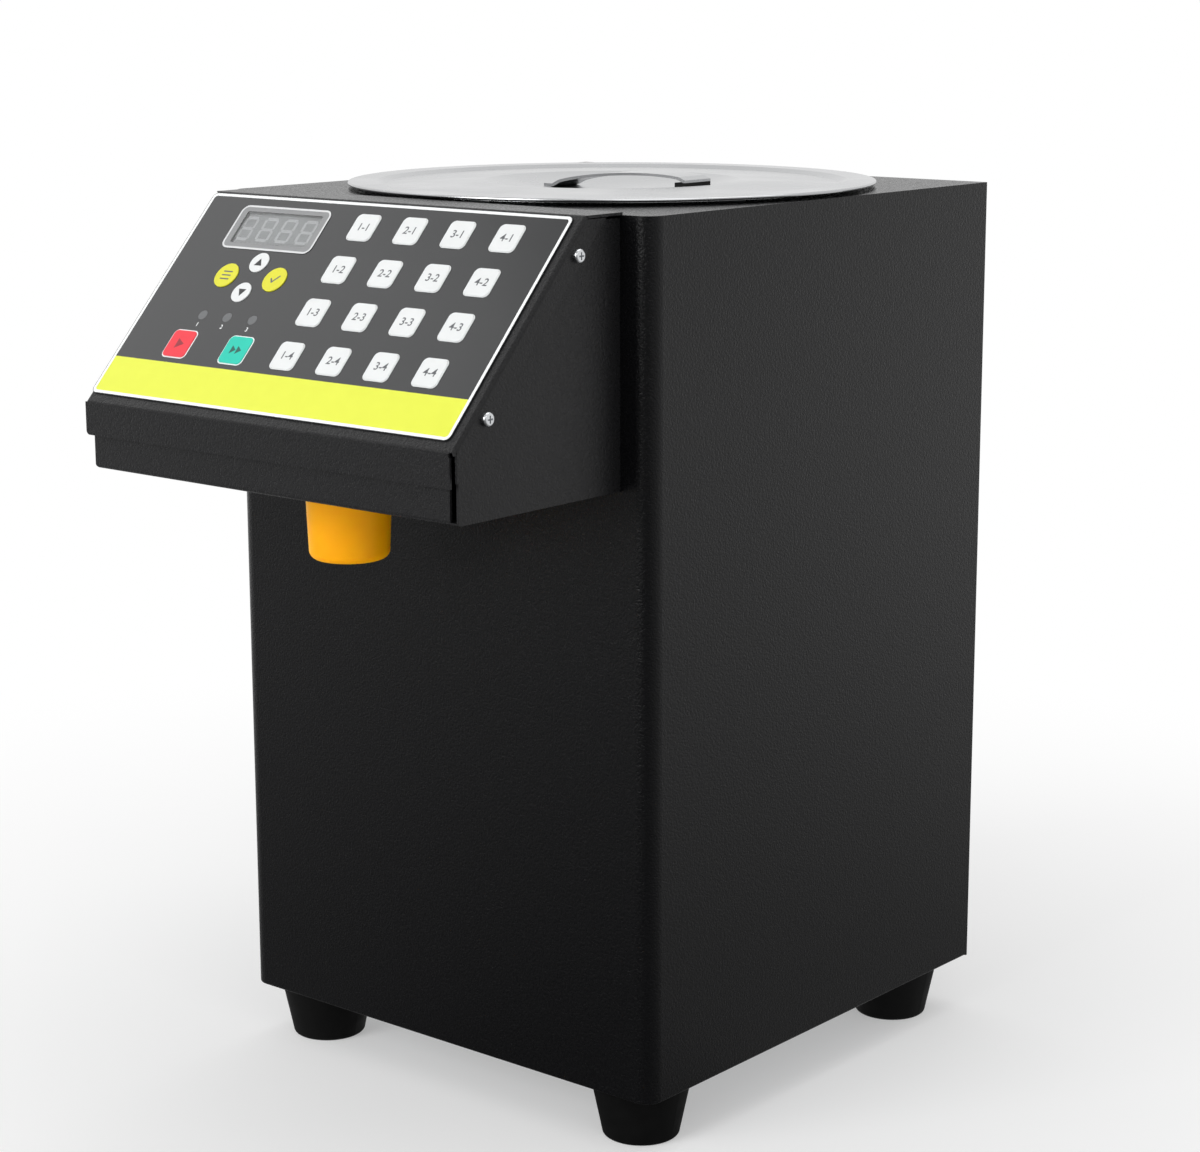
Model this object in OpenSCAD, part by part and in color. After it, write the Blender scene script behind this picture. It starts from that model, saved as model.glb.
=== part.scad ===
// Countertop fructose dispenser with a heated tank, a gear pump and a keypad head.
// Millimetres. +Z is up, the front faces -Y and the origin is the bottom centre of the whole.

/* [Casing] */
// Width of the casing
case_w = 250; // [244:1:280]
// Depth of the casing from its front face to its rear panel
case_d = 255; // [250:1:290]
// Height of the casing from its lower edge to the deck
case_h = 387; // [380:1:420]
// Thickness of the folded steel sheet
sheet = 1.2; // [0.8:0.1:1.5]
// Radius of the two upright front corners
corner_r = 8; // [5:1:12]
// Width of the folded flanges that the rear panel is screwed to
flange_w = 14; // [12:1:16]
// Height of the lips folded on the deck and on the base plate
lip_h = 12; // [8:1:16]

/* [Feet] */
// Height of a rubber foot
foot_h = 26.2; // [18:0.2:32]
// Radius of a foot at its top
foot_top_r = 22.5; // [19:0.1:23]
// Radius of a foot at the table
foot_low_r = 17.6; // [14:0.1:18]
// Distance of the front feet from the casing's sides and front
foot_inset = 25.8; // [24:0.2:32]
// Distance of the rear feet from the rear of the casing
foot_inset_back = 30; // [25:1:40]
// Radius of the foot bolts
foot_bolt_r = 2.5; // [2:0.5:3]

/* [Control head] */
// Width of the head's cover
head_w = 220; // [218:1:226]
// How far the head stands out of the casing's front face
head_reach = 103.5; // [98:0.5:112]
// Depth of the level strip between the slope and the casing
strip_d = 22.5; // [20:0.5:26]
// Height that the slope falls
slope_drop = 86.8; // [82:0.2:92]
// Height of the flange folded down at the foot of the slope
cover_flange_h = 14.8; // [10:0.2:16]
// Height of the head from its floor to its top strip
head_h = 116.8; // [112:0.2:122]
// How far the tray's front lip stays behind the cover's front flange
lip_setback = 3.3; // [2.5:0.1:4]
// Height of the tray's front lip
tray_lip_h = 26; // [20:1:30]
// Width of the flanges folded down along both sides of the slope
side_flange_w = 10; // [9.6:0.1:14]
// How far the cover's front flange stops short of its right side
flange_short = 2.5; // [2:0.1:4]
// Gap between the right end of the tray's front lip and the tray's side
seam_w = 3; // [1:0.1:6]
// Width of the port in the casing's front behind the head
port_w = 206; // [190:1:208]
// Height of the port
port_h = 88; // [70:1:92]

/* [Keypad] */
// Width of the printed panel film
film_w = 214; // [210:1:214]
// Height of the film along the slope
film_h = 112.8; // [110:0.2:114]
// Thickness of the film
film_t = 0.6; // [0.4:0.1:0.8]
// Width of a recipe key
key_w = 12.8; // [11:0.1:14]
// Height of a recipe key along the slope
key_h = 13.6; // [12:0.1:15]
// Spacing of the recipe keys across the slope
key_pitch_x = 27.4; // [26:0.1:27.6]
// Spacing of the recipe keys down the slope
key_pitch_v = 23; // [20:0.1:23.4]
// Radius of a key's corners
key_corner_r = 2.2; // [1:0.1:3]
// Radius of the two round yellow keys
round_key_r = 6.4; // [5.5:0.1:6.6]
// Radius of the two round arrow keys
arrow_key_r = 5.2; // [4.5:0.1:5.4]
// Side of the red key and of the teal key
start_key_w = 13.8; // [12:0.1:15]
// Travel of a key
key_travel = 0.4; // [0.2:0.05:0.4]
// Clearance round a key
key_gap = 0.15; // [0.1:0.05:0.3]
// Radius of the pusher under a key
pusher_r = 1.5; // [1.2:0.1:1.6]
// Width of the display window
window_w = 54.6; // [50:0.2:56]
// Height of the display window along the slope
window_h = 22.6; // [20:0.2:23]
// Radius of a status lamp
lamp_r = 2.5; // [1.5:0.1:2.5]
// Depth of the control board's face below the slope
board_drop = 7.2; // [6.6:0.1:8]
// Width of the control board
board_w = 190; // [186:1:194]
// Height of the control board along the slope
board_h = 98; // [96:1:100]

/* [Tank] */
// Space between the tank's bore and the nearest side of the casing
tank_side_gap = 20; // [19:0.5:26]
// Depth of the tank below the deck
tank_depth = 232; // [200:1:240]
// Thickness of the tank's wall
tank_t = 0.8; // [0.6:0.1:1.2]
// Radius of the tank's lower edge
tank_edge_r = 12; // [6:1:20]
// Width of the tank's rolled rim, outward from its bore
rim_w = 11; // [7:0.5:12]
// Height of the rolled rim above the deck
rim_h = 2.2; // [1.6:0.1:3]
// Distance of the tank's axis in front of the casing's middle
tank_forward = 1.5; // [0:0.1:2]
// Height of the heater band
heater_h = 50; // [30:1:70]
// Thickness of the heater band
heater_t = 2; // [1.5:0.1:2.2]
// Thickness of the insulation jacket
jacket_t = 10.8; // [6:0.1:11.4]

/* [Lid] */
// How far the lid reaches past the tank's rim
lid_over = 7.5; // [3:0.5:8]
// Thickness of the lid's sheet
lid_t = 0.8; // [0.6:0.1:1]
// Width of the lid's flat rim
lid_flat_w = 13.5; // [12.5:0.5:20]
// Radius of the bowl in the middle of the lid
bowl_r = 60; // [56:0.5:70]
// Depth of the bowl
bowl_depth = 5.6; // [4:0.1:8]
// Width of the strap handle
strap_w = 19; // [16:0.5:24]
// Thickness of the strap
strap_t = 1.2; // [0.8:0.1:1.6]
// Span of the strap
strap_span = 80; // [70:1:90]
// Height of the strap's arch
strap_rise = 4.2; // [3.5:0.1:8]
// Sideways shift of the strap
strap_shift = 11; // [0:0.5:12]
// Height of the rubber pad under the strap's outer end
pad_h = 2.4; // [1.6:0.1:3]

/* [Pump] */
// Module of the pump gears
gear_module = 2; // [1.6:0.1:2]
// Teeth on each pump gear
gear_teeth = 12; // [10:1:12]
// Width of the pump gears
gear_w = 14; // [10:0.5:16]
// Radius of the gear shafts
shaft_r = 4; // [3:0.1:4.2]
// Running clearance of the shafts
shaft_gap = 0.05; // [0.02:0.01:0.08]
// Clearance at the gears' tips and faces
gear_gap = 0.1; // [0.08:0.01:0.15]
// Radius of the motor
motor_r = 26; // [22:0.5:28]
// Length of the motor
motor_l = 66; // [55:1:75]
// Outer radius of the hoses
hose_r = 6; // [5:0.1:6.4]
// Bore radius of the hoses
hose_bore_r = 4.1; // [3.6:0.1:4.2]
// Bend radius of the hoses
hose_bend_r = 18; // [14:0.5:18]

/* [Outlet] */
// Distance of the outlet in front of the casing
outlet_reach = 52; // [48:0.5:60]
// Radius of the collar that holds the cap
collar_r = 15.5; // [13:0.5:16]
// Height of the collar
collar_h = 16; // [12:0.5:18]
// Outer radius of the cap at its top
cap_top_r = 18.8; // [17.5:0.1:20]
// Outer radius of the cap near its bottom
cap_low_r = 17.6; // [16.5:0.1:18.8]
// Height of the cap
cap_h = 33.8; // [30:0.2:40]
// Clearance between the cap and the collar
cap_gap = 0.05; // [0.02:0.01:0.08]

/* [Rear] */
// How far the mains inlet stands out of the rear panel
inlet_out = 4.5; // [4.4:0.1:6]
// Height of the mains inlet and the switch above the table
inlet_z = 78; // [74:1:90]
// Distance of the mains inlet from the casing's side
inlet_side = 51; // [41:1:59]
// Distance between the mains inlet and the power switch
switch_pitch = 44; // [40:1:50]
// Tilt of the rocker to each side
rocker_tilt = 8; // [4:0.5:8]
// Length of a vent slot
vent_l = 60; // [40:1:70]
// Spacing of the vent slots
vent_pitch = 9; // [7:0.5:12]
// Number of vent slots in a row
vent_count = 9; // [4:1:10]

/* [Hidden] */
$fn = 96;

// Clearance between separate pieces that touch
touch = 0.3;
// Small reach past a face, so that a cut goes right through it
over = 1;

front_y = -(case_d + inlet_out - head_reach) / 2;
deck_z = foot_h + case_h;
back_y = case_d - sheet;
inner_w = case_w - 2 * sheet;
lip_end = corner_r + 6;
vent_w = 3;
vent_drop = 50;
vent_mid = 8;
base_vents = 6;
base_vent_l = 44;
base_vent_pitch = 10;

// Rubber left above the recess for a foot bolt's head
foot_core = 9;
foot_recess_r = 2 * foot_bolt_r + 3;
foot_edge_r = 2;
bolt_head_h = 3;
bolt_nut_h = 4;
bolt_rise = 6;

// Outer radius of the bends in the folded sheet
bend_r = 1.8;
// Radius of the corners cut off the ends of flanges and lips
snip_r = 2;

head_top = deck_z + sheet;
head_floor = head_top - head_h;
slope_run = head_reach - strip_d;
slope_tilt = atan2(slope_drop, slope_run);
slope_l = norm([slope_run, slope_drop]);
bend_z = head_top - slope_drop;
side_flange_y = -head_reach + sheet + 0.6;
tray_half = head_w / 2 - sheet - 0.2;
tray_flange_w = 12;
tray_short = 3;
// How far the tray's sides stay behind its front lip
side_setback = 0.6;
// Gap between the level strip and the side flanges below it
strip_gap = 0.4;
relief_r = 1.3;
port_z = head_floor + 9;
cover_screw_v = [15.8, slope_l - 21];
cover_screw_drop = 6.2;

film_x = -2.4;
film_v = 1.3;
key_x = -6.2;
key_v = 14.9;
key_top = film_t + 0.4;
pad_low = key_travel + 0.05;
round_key_v = 46;
round_key_x = [-70.2, -39.8];
arrow_x = -55;
arrow_v = [37.8, 54.2];
start_v = 84;
red_x = -73;
teal_x = -37.6;
window_x = -57.2;
window_v = 19.2;
lamp_x = [-70, -54.6, -38.8];
lamp_v = 67.8;
board_t = 1.6;
switch_h = 3.5;
pusher_end = board_drop - switch_h - 1.5 - key_travel - 0.1;
board_x = 0;
board_v = 56;
stud_r = 2;
stud_inset = 5;
digit_pitch = 11.4;
digit_w = 6.4;
digit_h = 12.6;
digit_bar = 1.2;
digit_lean = 0.14;
chip_w = 18;
chip_l = 12;
chip_h = 3;
plug_w = 26;
plug_h = 9;

tank_r = min(case_w, case_d) / 2 - tank_side_gap;
tank_y = case_d / 2 - tank_forward;
tank_out = tank_r + tank_t;
rim_r = tank_r + rim_w;
rim_bead = 3.6;
band_gap = 0.05;
band_r = tank_out + band_gap + heater_t;
jacket_r = band_r + touch + jacket_t;
tank_floor = deck_z - tank_depth;
tank_low = tank_floor - tank_t;
heater_z = tank_floor + 20;
lid_r = rim_r + lid_over;
lid_step_r = lid_r - lid_flat_w;
lid_z = deck_z + rim_h + touch;
lid_top = lid_z + lid_t;
lid_hem = 0.8;
strap_tab = 5;
pad_l = 6;
crest_drop = 0.2;
dip_drop = 1.4;
crest_w = 6;

pitch_r = gear_module * gear_teeth / 2;
tip_r = pitch_r + gear_module;
pump_x = -20;
pump_y = 70;
pump_z = 80;
pump_half_w = 24;
pump_half_h = pitch_r + tip_r + 6;
pump_wall = 8;
pump_d = gear_w + 2 * gear_gap + pump_wall;
pump_cover_t = 6;
bracket_t = 4;
bracket_w = 64;
bracket_foot_l = 34;
bracket_y = pump_y + pump_d;
motor_y = bracket_y + bracket_t;
drive_z = pump_z + pitch_r;
idler_z = pump_z - pitch_r;
port_y = pump_y + gear_w / 2;
barb_r = hose_bore_r - 0.1;
barb_l = 14;
fitting_x = 42;
fitting_y = port_y;
fitting_drop = 12;
probe_x = -48;
probe_forward = 20;
hose_side = 35;
hose_x = -(case_w / 2 - hose_side);
hose_y = 21;
hose_z = head_floor + 46;
clip_w = 6;
stem_r = 6;
stem_top = head_floor + 12;

// The power board, its distance in front of the rear foot's bolt and its distance from the side
power_board_l = 96;
power_board_w = 78;
power_board_gap = 11;
power_board_side = 13.8;
power_board_h = 6;
coil_w = 34;
coil_l = 30;
coil_h = 24;
coil_x = 8;
coil_y = 10;
can_r = 9;
can_h = 22;
can_x = 58;
can_y = 26;
can_pitch = 24;
relay_w = 24;
relay_l = 16;
relay_h = 12;
relay_x = 12;
relay_y = 52;
terminal_w = 54;
terminal_l = 10;
terminal_h = 9;
terminal_x = 10;
terminal_y = 80;

rear_y = case_d;
inlet_x = case_w / 2 - inlet_side;
switch_x = inlet_x - switch_pitch;
socket_w = 24.5;
socket_h = 16.5;
socket_d = 16;
pin_l = 9;
switch_w = 22;
switch_l = 30;
rocker_w = 17.6;
rocker_l = 25;
rocker_in = 0.6;
rocker_pin_r = 1.5;
screw_r = 1.5;
screw_l = 6;
screw_head_r = 3;
screw_head_h = 2.2;
rear_screw_z = [foot_h + 24, foot_h + case_h / 2, deck_z - 26];
rear_screw_x = inner_w / 2 - flange_w / 2;

// ---- shared shapes ----

// Puts a shape that is drawn from the casing's front face into the model's frame
module at_front() {
    translate([0, front_y, 0]) children();
}

// Puts a shape on the slope: x across, y up the slope, z out of the panel
module on_slope() {
    at_front() translate([0, -strip_d, head_top]) rotate([slope_tilt, 0, 0]) children();
}

module rounded_rect(w, h, r) {
    square([w - 2 * r, h], center = true);
    square([w, h - 2 * r], center = true);
    for (x = [-1, 1], y = [-1, 1])
        translate([x * (w / 2 - r), y * (h / 2 - r)]) circle(r);
}

// Outline of the casing seen from above, with its two front corners rounded
module case_plan(inset, back) {
    r = corner_r - inset;
    translate([-(case_w / 2 - inset), corner_r]) square([case_w - 2 * inset, back - corner_r]);
    translate([-(case_w / 2 - corner_r), inset]) square([case_w - 2 * corner_r, r + over]);
    for (x = [-1, 1]) translate([x * (case_w / 2 - corner_r), corner_r]) circle(r);
}

module slot(l, w) {
    square([l - w, w], center = true);
    for (x = [-1, 1]) translate([x * (l - w) / 2, 0]) circle(w / 2);
}

// What lies outside a quarter round of radius r, drawn in the corner at the origin's lower left
module outside_round(r) {
    difference() {
        translate([-over, -over]) square(r + over);
        translate([r, r]) circle(r);
    }
}

// Pan-head screw along +Z: its head stands on z = 0 and its shank runs down
module pan_screw(shank) {
    difference() {
        union() {
            rotate_extrude() polygon([[0, 0], [screw_head_r, 0],
                for (a = [0:15:90]) [screw_head_r - 1 + cos(a), screw_head_h - 1 + sin(a)],
                [0, screw_head_h]]);
            translate([0, 0, -shank]) cylinder(r = screw_r, h = shank);
        }
        for (a = [0, 90]) rotate([0, 0, a])
            translate([-1.6, -0.35, screw_head_h - 1.3]) cube([3.2, 0.7, 2]);
    }
}

// Turns local x, y and z onto three unit vectors
module turned(x, y, z, p) {
    multmatrix([[x[0], y[0], z[0], p[0]], [x[1], y[1], z[1], p[1]],
        [x[2], y[2], z[2], p[2]], [0, 0, 0, 1]]) children();
}

function unit(v) = v / norm(v);

// Any unit vector square to an axis-aligned direction
function side_of(d) = abs(d[2]) > 0.5 ? [1, 0, 0] : [0, 0, 1];

module hose_leg(a, b) {
    d = unit(b - a);
    s = side_of(d);
    turned(s, cross(d, s), d, a) difference() {
        cylinder(r = hose_r, h = norm(b - a));
        translate([0, 0, -over]) cylinder(r = hose_bore_r, h = norm(b - a) + 2 * over);
    }
}

module hose_elbow(p, a, b) {
    turned(-b, a, cross(-b, a), p - (a - b) * hose_bend_r) rotate_extrude(angle = 90)
        translate([hose_bend_r, 0]) difference() {
            circle(hose_r);
            circle(hose_bore_r);
        }
}

// Hose along a list of points with square turns, each rounded by the bend radius
module hose(points) {
    last = len(points) - 1;
    for (i = [0:last - 1]) {
        d = unit(points[i + 1] - points[i]);
        a = points[i] + (i > 0 ? d * hose_bend_r : [0, 0, 0]);
        b = points[i + 1] - (i < last - 1 ? d * hose_bend_r : [0, 0, 0]);
        hose_leg(a, b);
        if (i < last - 1) hose_elbow(points[i + 1], d, unit(points[i + 2] - points[i + 1]));
    }
}

// ---- casing ----

// Cut that rounds the casing's lower edge along its front and both sides
module low_edge_cut(r) {
    for (m = [0, 1]) mirror([m, 0, 0]) {
        translate([-case_w / 2, back_y + over, foot_h]) rotate([90, 0, 0])
            linear_extrude(back_y + over - corner_r) outside_round(r);
        translate([-(case_w / 2 - corner_r), corner_r, foot_h]) rotate([0, 0, 180])
            rotate_extrude(angle = 90) translate([corner_r, 0]) mirror([1, 0]) outside_round(r);
    }
    translate([-(case_w / 2 - corner_r), 0, foot_h]) rotate([90, 0, 90])
        linear_extrude(case_w - 2 * corner_r) outside_round(r);
}

module outer_case() color("#26272a") at_front() difference() {
    union() {
        translate([0, 0, foot_h]) linear_extrude(case_h - sheet) difference() {
            case_plan(0, back_y);
            case_plan(sheet, back_y + over);
        }
        for (x = [-1, 1])
            translate([x * (inner_w / 2 - flange_w / 2) - flange_w / 2, back_y - sheet, foot_h])
                cube([flange_w, sheet, case_h - sheet]);
    }
    translate([-port_w / 2, -over, port_z]) cube([port_w, sheet + 2 * over, port_h]);
    for (x = [-1, 1], z = rear_screw_z)
        translate([x * rear_screw_x, back_y - sheet - over, z]) rotate([-90, 0, 0])
            cylinder(r = screw_r + 0.1, h = sheet + 2 * over);
    low_edge_cut(0.9 * sheet);
}

module top_deck() color("#2a2b2e") at_front() {
    difference() {
        translate([0, 0, deck_z - sheet]) linear_extrude(sheet) case_plan(0, case_d);
        translate([0, tank_y, deck_z - sheet - over]) cylinder(r = tank_out + touch, h = sheet + 2 * over);
    }
    for (x = [-1, 1])
        translate([x * (inner_w - sheet) / 2 - sheet / 2, lip_end, deck_z - sheet - lip_h])
            cube([sheet, back_y - sheet - 2 * lip_end + corner_r, lip_h]);
}

module base_plate() color("#3a3b3e") at_front() {
    difference() {
        translate([0, 0, foot_h]) linear_extrude(sheet) case_plan(sheet, back_y - sheet);
        for (p = foot_places()) translate([p[0], p[1], foot_h - over])
            cylinder(r = foot_bolt_r + 0.1, h = sheet + 2 * over);
        for (i = [0:base_vents - 1])
            translate([pump_x, motor_y + base_vent_pitch * (i + 1.2), foot_h - over])
                linear_extrude(sheet + 2 * over) slot(base_vent_l, vent_w);
    }
    for (x = [-1, 1])
        translate([x * (inner_w - sheet) / 2 - sheet / 2, lip_end, foot_h + sheet])
            cube([sheet, back_y - sheet - 2 * lip_end + corner_r, lip_h]);
}

module rear_panel() color("#2a2b2e") at_front() difference() {
    translate([-case_w / 2, back_y, foot_h]) cube([case_w, sheet, case_h - sheet]);
    for (side = [-1, 1], i = [0:vent_count - 1])
        translate([side * (vent_l / 2 + vent_mid), back_y - over, deck_z - vent_drop - i * vent_pitch])
            rotate([-90, 0, 0]) linear_extrude(sheet + 2 * over) slot(vent_l, vent_w);
    for (x = [-1, 1], z = rear_screw_z)
        translate([x * rear_screw_x, back_y - over, z]) rotate([-90, 0, 0])
            cylinder(r = screw_r + 0.1, h = sheet + 2 * over);
    translate([inlet_x, back_y - over, inlet_z]) rotate([-90, 0, 0])
        linear_extrude(sheet + 2 * over) rounded_rect(socket_w + 3.2, socket_h + 3.2, 2);
    translate([switch_x, back_y - over, inlet_z]) rotate([-90, 0, 0])
        linear_extrude(sheet + 2 * over) square([switch_w - 1.8, switch_l - 1.8], center = true);
}

// ---- feet ----

function foot_places() = [for (x = [-1, 1], y = [foot_inset, case_d - foot_inset_back])
    [x * (case_w / 2 - foot_inset), y]];

module rubber_feet() color("#1b1b1c") at_front() for (p = foot_places())
    translate([p[0], p[1], 0]) rotate_extrude() polygon([
        [foot_recess_r, 0],
        for (a = [-90:15:0])
            [foot_low_r - foot_edge_r + foot_edge_r * cos(a), foot_edge_r + foot_edge_r * sin(a)],
        [foot_top_r, foot_h - 0.8], [foot_top_r - 0.8, foot_h],
        [foot_bolt_r + 0.1, foot_h], [foot_bolt_r + 0.1, foot_h - foot_core],
        [foot_recess_r, foot_h - foot_core]]);

module foot_bolts() color("#b9bcc0") at_front() for (p = foot_places()) translate([p[0], p[1], 0]) {
    bolt_z = foot_h - foot_core;
    translate([0, 0, bolt_z]) cylinder(r = foot_bolt_r, h = foot_core + sheet + bolt_rise);
    translate([0, 0, bolt_z - bolt_head_h]) cylinder(r = 2 * foot_bolt_r, h = bolt_head_h);
    translate([0, 0, foot_h + sheet]) difference() {
        cylinder(r = 1.9 * foot_bolt_r, h = bolt_nut_h, $fn = 6);
        translate([0, 0, -over]) cylinder(r = foot_bolt_r + 0.05, h = bolt_nut_h + 2 * over);
    }
}

// ---- control head ----

// Outline of the tray's sides, as points of y and z: below the cover by an inset, short of the front
function tray_side(inset, front) = [
    [0, head_floor], [0, head_top - inset],
    [-strip_d + inset * tan(slope_tilt / 2), head_top - inset],
    [-head_reach + front, bend_z + (front * slope_drop / slope_run) - inset / cos(slope_tilt)],
    [-head_reach + front, head_floor]];

// Points of an arc that rounds the corner p between the points a and b
function bend(p, a, b, r) =
    let (u = unit(a - p), w = unit(b - p), half = acos(u * w) / 2, reach = r / tan(half),
        c = p + unit(u + w) * r / sin(half), from = p + u * reach - c, to = p + w * reach - c)
    [for (i = [0:6]) c + unit(from * (6 - i) + to * i) * r];

// Draws a list of y and z points as a plate square to X, centred on x
module side_plate(points, x, t) {
    translate([x - t / 2, 0, 0]) rotate([90, 0, 90]) linear_extrude(t) polygon(points);
}

module head_tray() color("#26272a") at_front() {
    lip_y = -head_reach + lip_setback;
    difference() {
        union() {
            translate([-tray_half, lip_y, head_floor]) cube([2 * tray_half, -lip_y, sheet]);
            translate([-tray_half, lip_y, head_floor])
                cube([2 * tray_half - sheet - seam_w, sheet, tray_lip_h]);
            for (x = [-1, 1]) side_plate(tray_side(2 * sheet, lip_setback + side_setback),
                x * (tray_half - sheet / 2), sheet);
            for (x = [-1, 1])
                translate([x * (tray_half - tray_flange_w / 2) - tray_flange_w / 2, -sheet, head_floor])
                    cube([tray_flange_w, sheet, head_h - tray_short]);
        }
        cover_screw_holes(screw_r + 0.05);
        translate([0, -outlet_reach, head_floor - over]) cylinder(r = stem_r + 0.1, h = sheet + 2 * over);
        translate([-tray_half - over, lip_y, head_floor]) rotate([90, 0, 90])
            linear_extrude(2 * tray_half + 2 * over) outside_round(bend_r);
        translate([-tray_half, lip_y + 2 * sheet, head_floor]) rotate([90, 0, 0])
            linear_extrude(2 * sheet + over) outside_round(snip_r);
    }
}

// Place of a cover screw's axis at x, for its distance v down the slope
function cover_screw_place(x, v) = [x,
    -strip_d - v * cos(slope_tilt) + cover_screw_drop * sin(slope_tilt),
    head_top - v * sin(slope_tilt) - cover_screw_drop * cos(slope_tilt)];

// Bores across both sides of the head for the cover's screws
module cover_screw_holes(r) {
    for (v = cover_screw_v) translate(cover_screw_place(-head_w, v)) rotate([0, 90, 0])
        cylinder(r = r, h = 2 * head_w);
}

strip_edge = [-strip_d, head_top];
slope_edge = [-head_reach, bend_z];
flange_end = [-head_reach, bend_z - cover_flange_h];
slope_inner = [-head_reach + sheet, bend_z - sheet * tan((90 - slope_tilt) / 2)];
strip_inner = [-strip_d + sheet * tan(slope_tilt / 2), head_top - sheet];

side_flange_top = head_top - sheet - strip_gap;

// Where a line parallel to the slope, a depth below its face, has the height z or the distance y
function slope_y(z, depth) = -strip_d - (head_top - z) * slope_run / slope_drop + depth / sin(slope_tilt);
function slope_z(y, depth) = head_top + (y + strip_d) * slope_drop / slope_run - depth / cos(slope_tilt);

// Cuts in the cover's front flange: its short right end, the round relief above it and one round corner
module front_flange_cuts() {
    deep = sheet + over + touch;
    x = head_w / 2 - flange_short;
    translate([x, -head_reach - over, flange_end[1] - over])
        cube([flange_short + over, deep, cover_flange_h - relief_r + over]);
    translate([x + relief_r / 2, -head_reach - over, bend_z - relief_r]) rotate([-90, 0, 0])
        cylinder(r = relief_r, h = deep);
    translate([-head_w / 2, -head_reach - over + deep, flange_end[1]]) rotate([90, 0, 0])
        linear_extrude(deep) outside_round(snip_r);
}

module panel_cover() color("#2a2b2e") {
    at_front() difference() {
        union() {
            translate([-head_w / 2, 0, 0]) rotate([90, 0, 90]) linear_extrude(head_w) polygon(concat(
                [[0, head_top]], bend(strip_edge, [0, head_top], slope_edge, bend_r),
                bend(slope_edge, strip_edge, flange_end, bend_r), [flange_end, flange_end + [sheet, 0]],
                bend(slope_inner, flange_end + [sheet, 0], strip_inner, bend_r - sheet),
                bend(strip_inner, slope_inner, [0, head_top - sheet], bend_r - sheet),
                [[0, head_top - sheet]]));
            for (x = [-1, 1]) side_plate([
                [slope_y(side_flange_top, sheet / 2), side_flange_top],
                [slope_y(side_flange_top, side_flange_w), side_flange_top],
                [side_flange_y, slope_z(side_flange_y, side_flange_w)],
                [side_flange_y, slope_z(side_flange_y, sheet / 2)]], x * (head_w - sheet) / 2, sheet);
        }
        cover_screw_holes(screw_r + 0.1);
        translate([0, -strip_d, head_top]) rotate([slope_tilt, 0, 0]) {
            panel_cuts();
            for (m = [0, 1]) mirror([m, 0, 0]) translate([-head_w / 2, 0, 0]) rotate([90, 0, 0])
                linear_extrude(slope_l) mirror([0, 1, 0]) outside_round(bend_r);
        }
        front_flange_cuts();
    }
    on_slope() for (x = [-1, 1], v = [-1, 1])
        translate(concat(board_corner(x, v), -board_drop))
            cylinder(r = stud_r, h = board_drop - sheet / 2);
}

// Place of a stud and of its hole near a corner of the control board
function board_corner(x, v) =
    [board_x + x * (board_w / 2 - stud_inset), -board_v + v * (board_h / 2 - stud_inset)];

// Holes through the slope for the window, the lamps and the key pushers
module panel_cuts() {
    deep = sheet + 2 * over;
    translate([window_x, -window_v, -sheet - over]) linear_extrude(deep)
        rounded_rect(window_w, window_h, 3);
    for (x = lamp_x) translate([x, -lamp_v, -sheet - over]) cylinder(r = lamp_r + 0.1, h = deep);
    for (k = all_keys()) translate([k[0], -k[1], -sheet - over]) cylinder(r = pusher_r + 0.3, h = deep);
}

// ---- keypad ----

function recipe_place(c, r) = [key_x + (c - 1) * key_pitch_x, key_v + (r - 1) * key_pitch_v];

function all_keys() = concat(
    [for (r = [1:4], c = [1:4]) recipe_place(c, r)],
    [for (x = round_key_x) [x, round_key_v]], [for (v = arrow_v) [arrow_x, v]],
    [[red_x, start_v], [teal_x, start_v]]);

module panel_film() color("#47494c") on_slope() difference() {
    translate([film_x, -film_v - film_h / 2, 0]) linear_extrude(film_t) rounded_rect(film_w, film_h, 3);
    translate([0, 0, -over]) linear_extrude(film_t + 2 * over) {
        for (r = [1:4], c = [1:4]) key_hole(recipe_place(c, r)) rounded_rect(key_w + 2 * key_gap,
            key_h + 2 * key_gap, key_corner_r + key_gap);
        for (x = round_key_x) key_hole([x, round_key_v]) circle(round_key_r + key_gap);
        for (v = arrow_v) key_hole([arrow_x, v]) circle(arrow_key_r + key_gap);
        for (x = [red_x, teal_x]) key_hole([x, start_v]) rounded_rect(start_key_w + 2 * key_gap,
            start_key_w + 2 * key_gap, key_corner_r + key_gap);
        key_hole([window_x, window_v]) rounded_rect(window_w, window_h, 3);
        for (x = lamp_x) key_hole([x, lamp_v]) circle(lamp_r + 0.1);
    }
}

module key_hole(p) {
    translate([p[0], -p[1]]) children();
}

// A key: its face, drawn by the child, and the pusher that reaches the switch behind it
module key_pad(p) {
    on_slope() translate([p[0], -p[1], 0]) {
        translate([0, 0, pad_low]) linear_extrude(key_top - pad_low) children();
        translate([0, 0, -pusher_end]) cylinder(r = pusher_r, h = pusher_end + pad_low);
    }
}

module start_key_face() {
    rounded_rect(start_key_w, start_key_w, key_corner_r);
}

module recipe_key(c, r) color("#f2f3f3") key_pad(recipe_place(c, r))
    rounded_rect(key_w, key_h, key_corner_r);
module key_left_round() color("#f3ee57") key_pad([round_key_x[0], round_key_v]) circle(round_key_r);
module key_right_round() color("#f3ee57") key_pad([round_key_x[1], round_key_v]) circle(round_key_r);
module key_up() color("#f2f3f3") key_pad([arrow_x, arrow_v[0]]) circle(arrow_key_r);
module key_down() color("#f2f3f3") key_pad([arrow_x, arrow_v[1]]) circle(arrow_key_r);
module key_red() color("#ee4453") key_pad([red_x, start_v]) start_key_face();
module key_teal() color("#35b3a4") key_pad([teal_x, start_v]) start_key_face();

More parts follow.
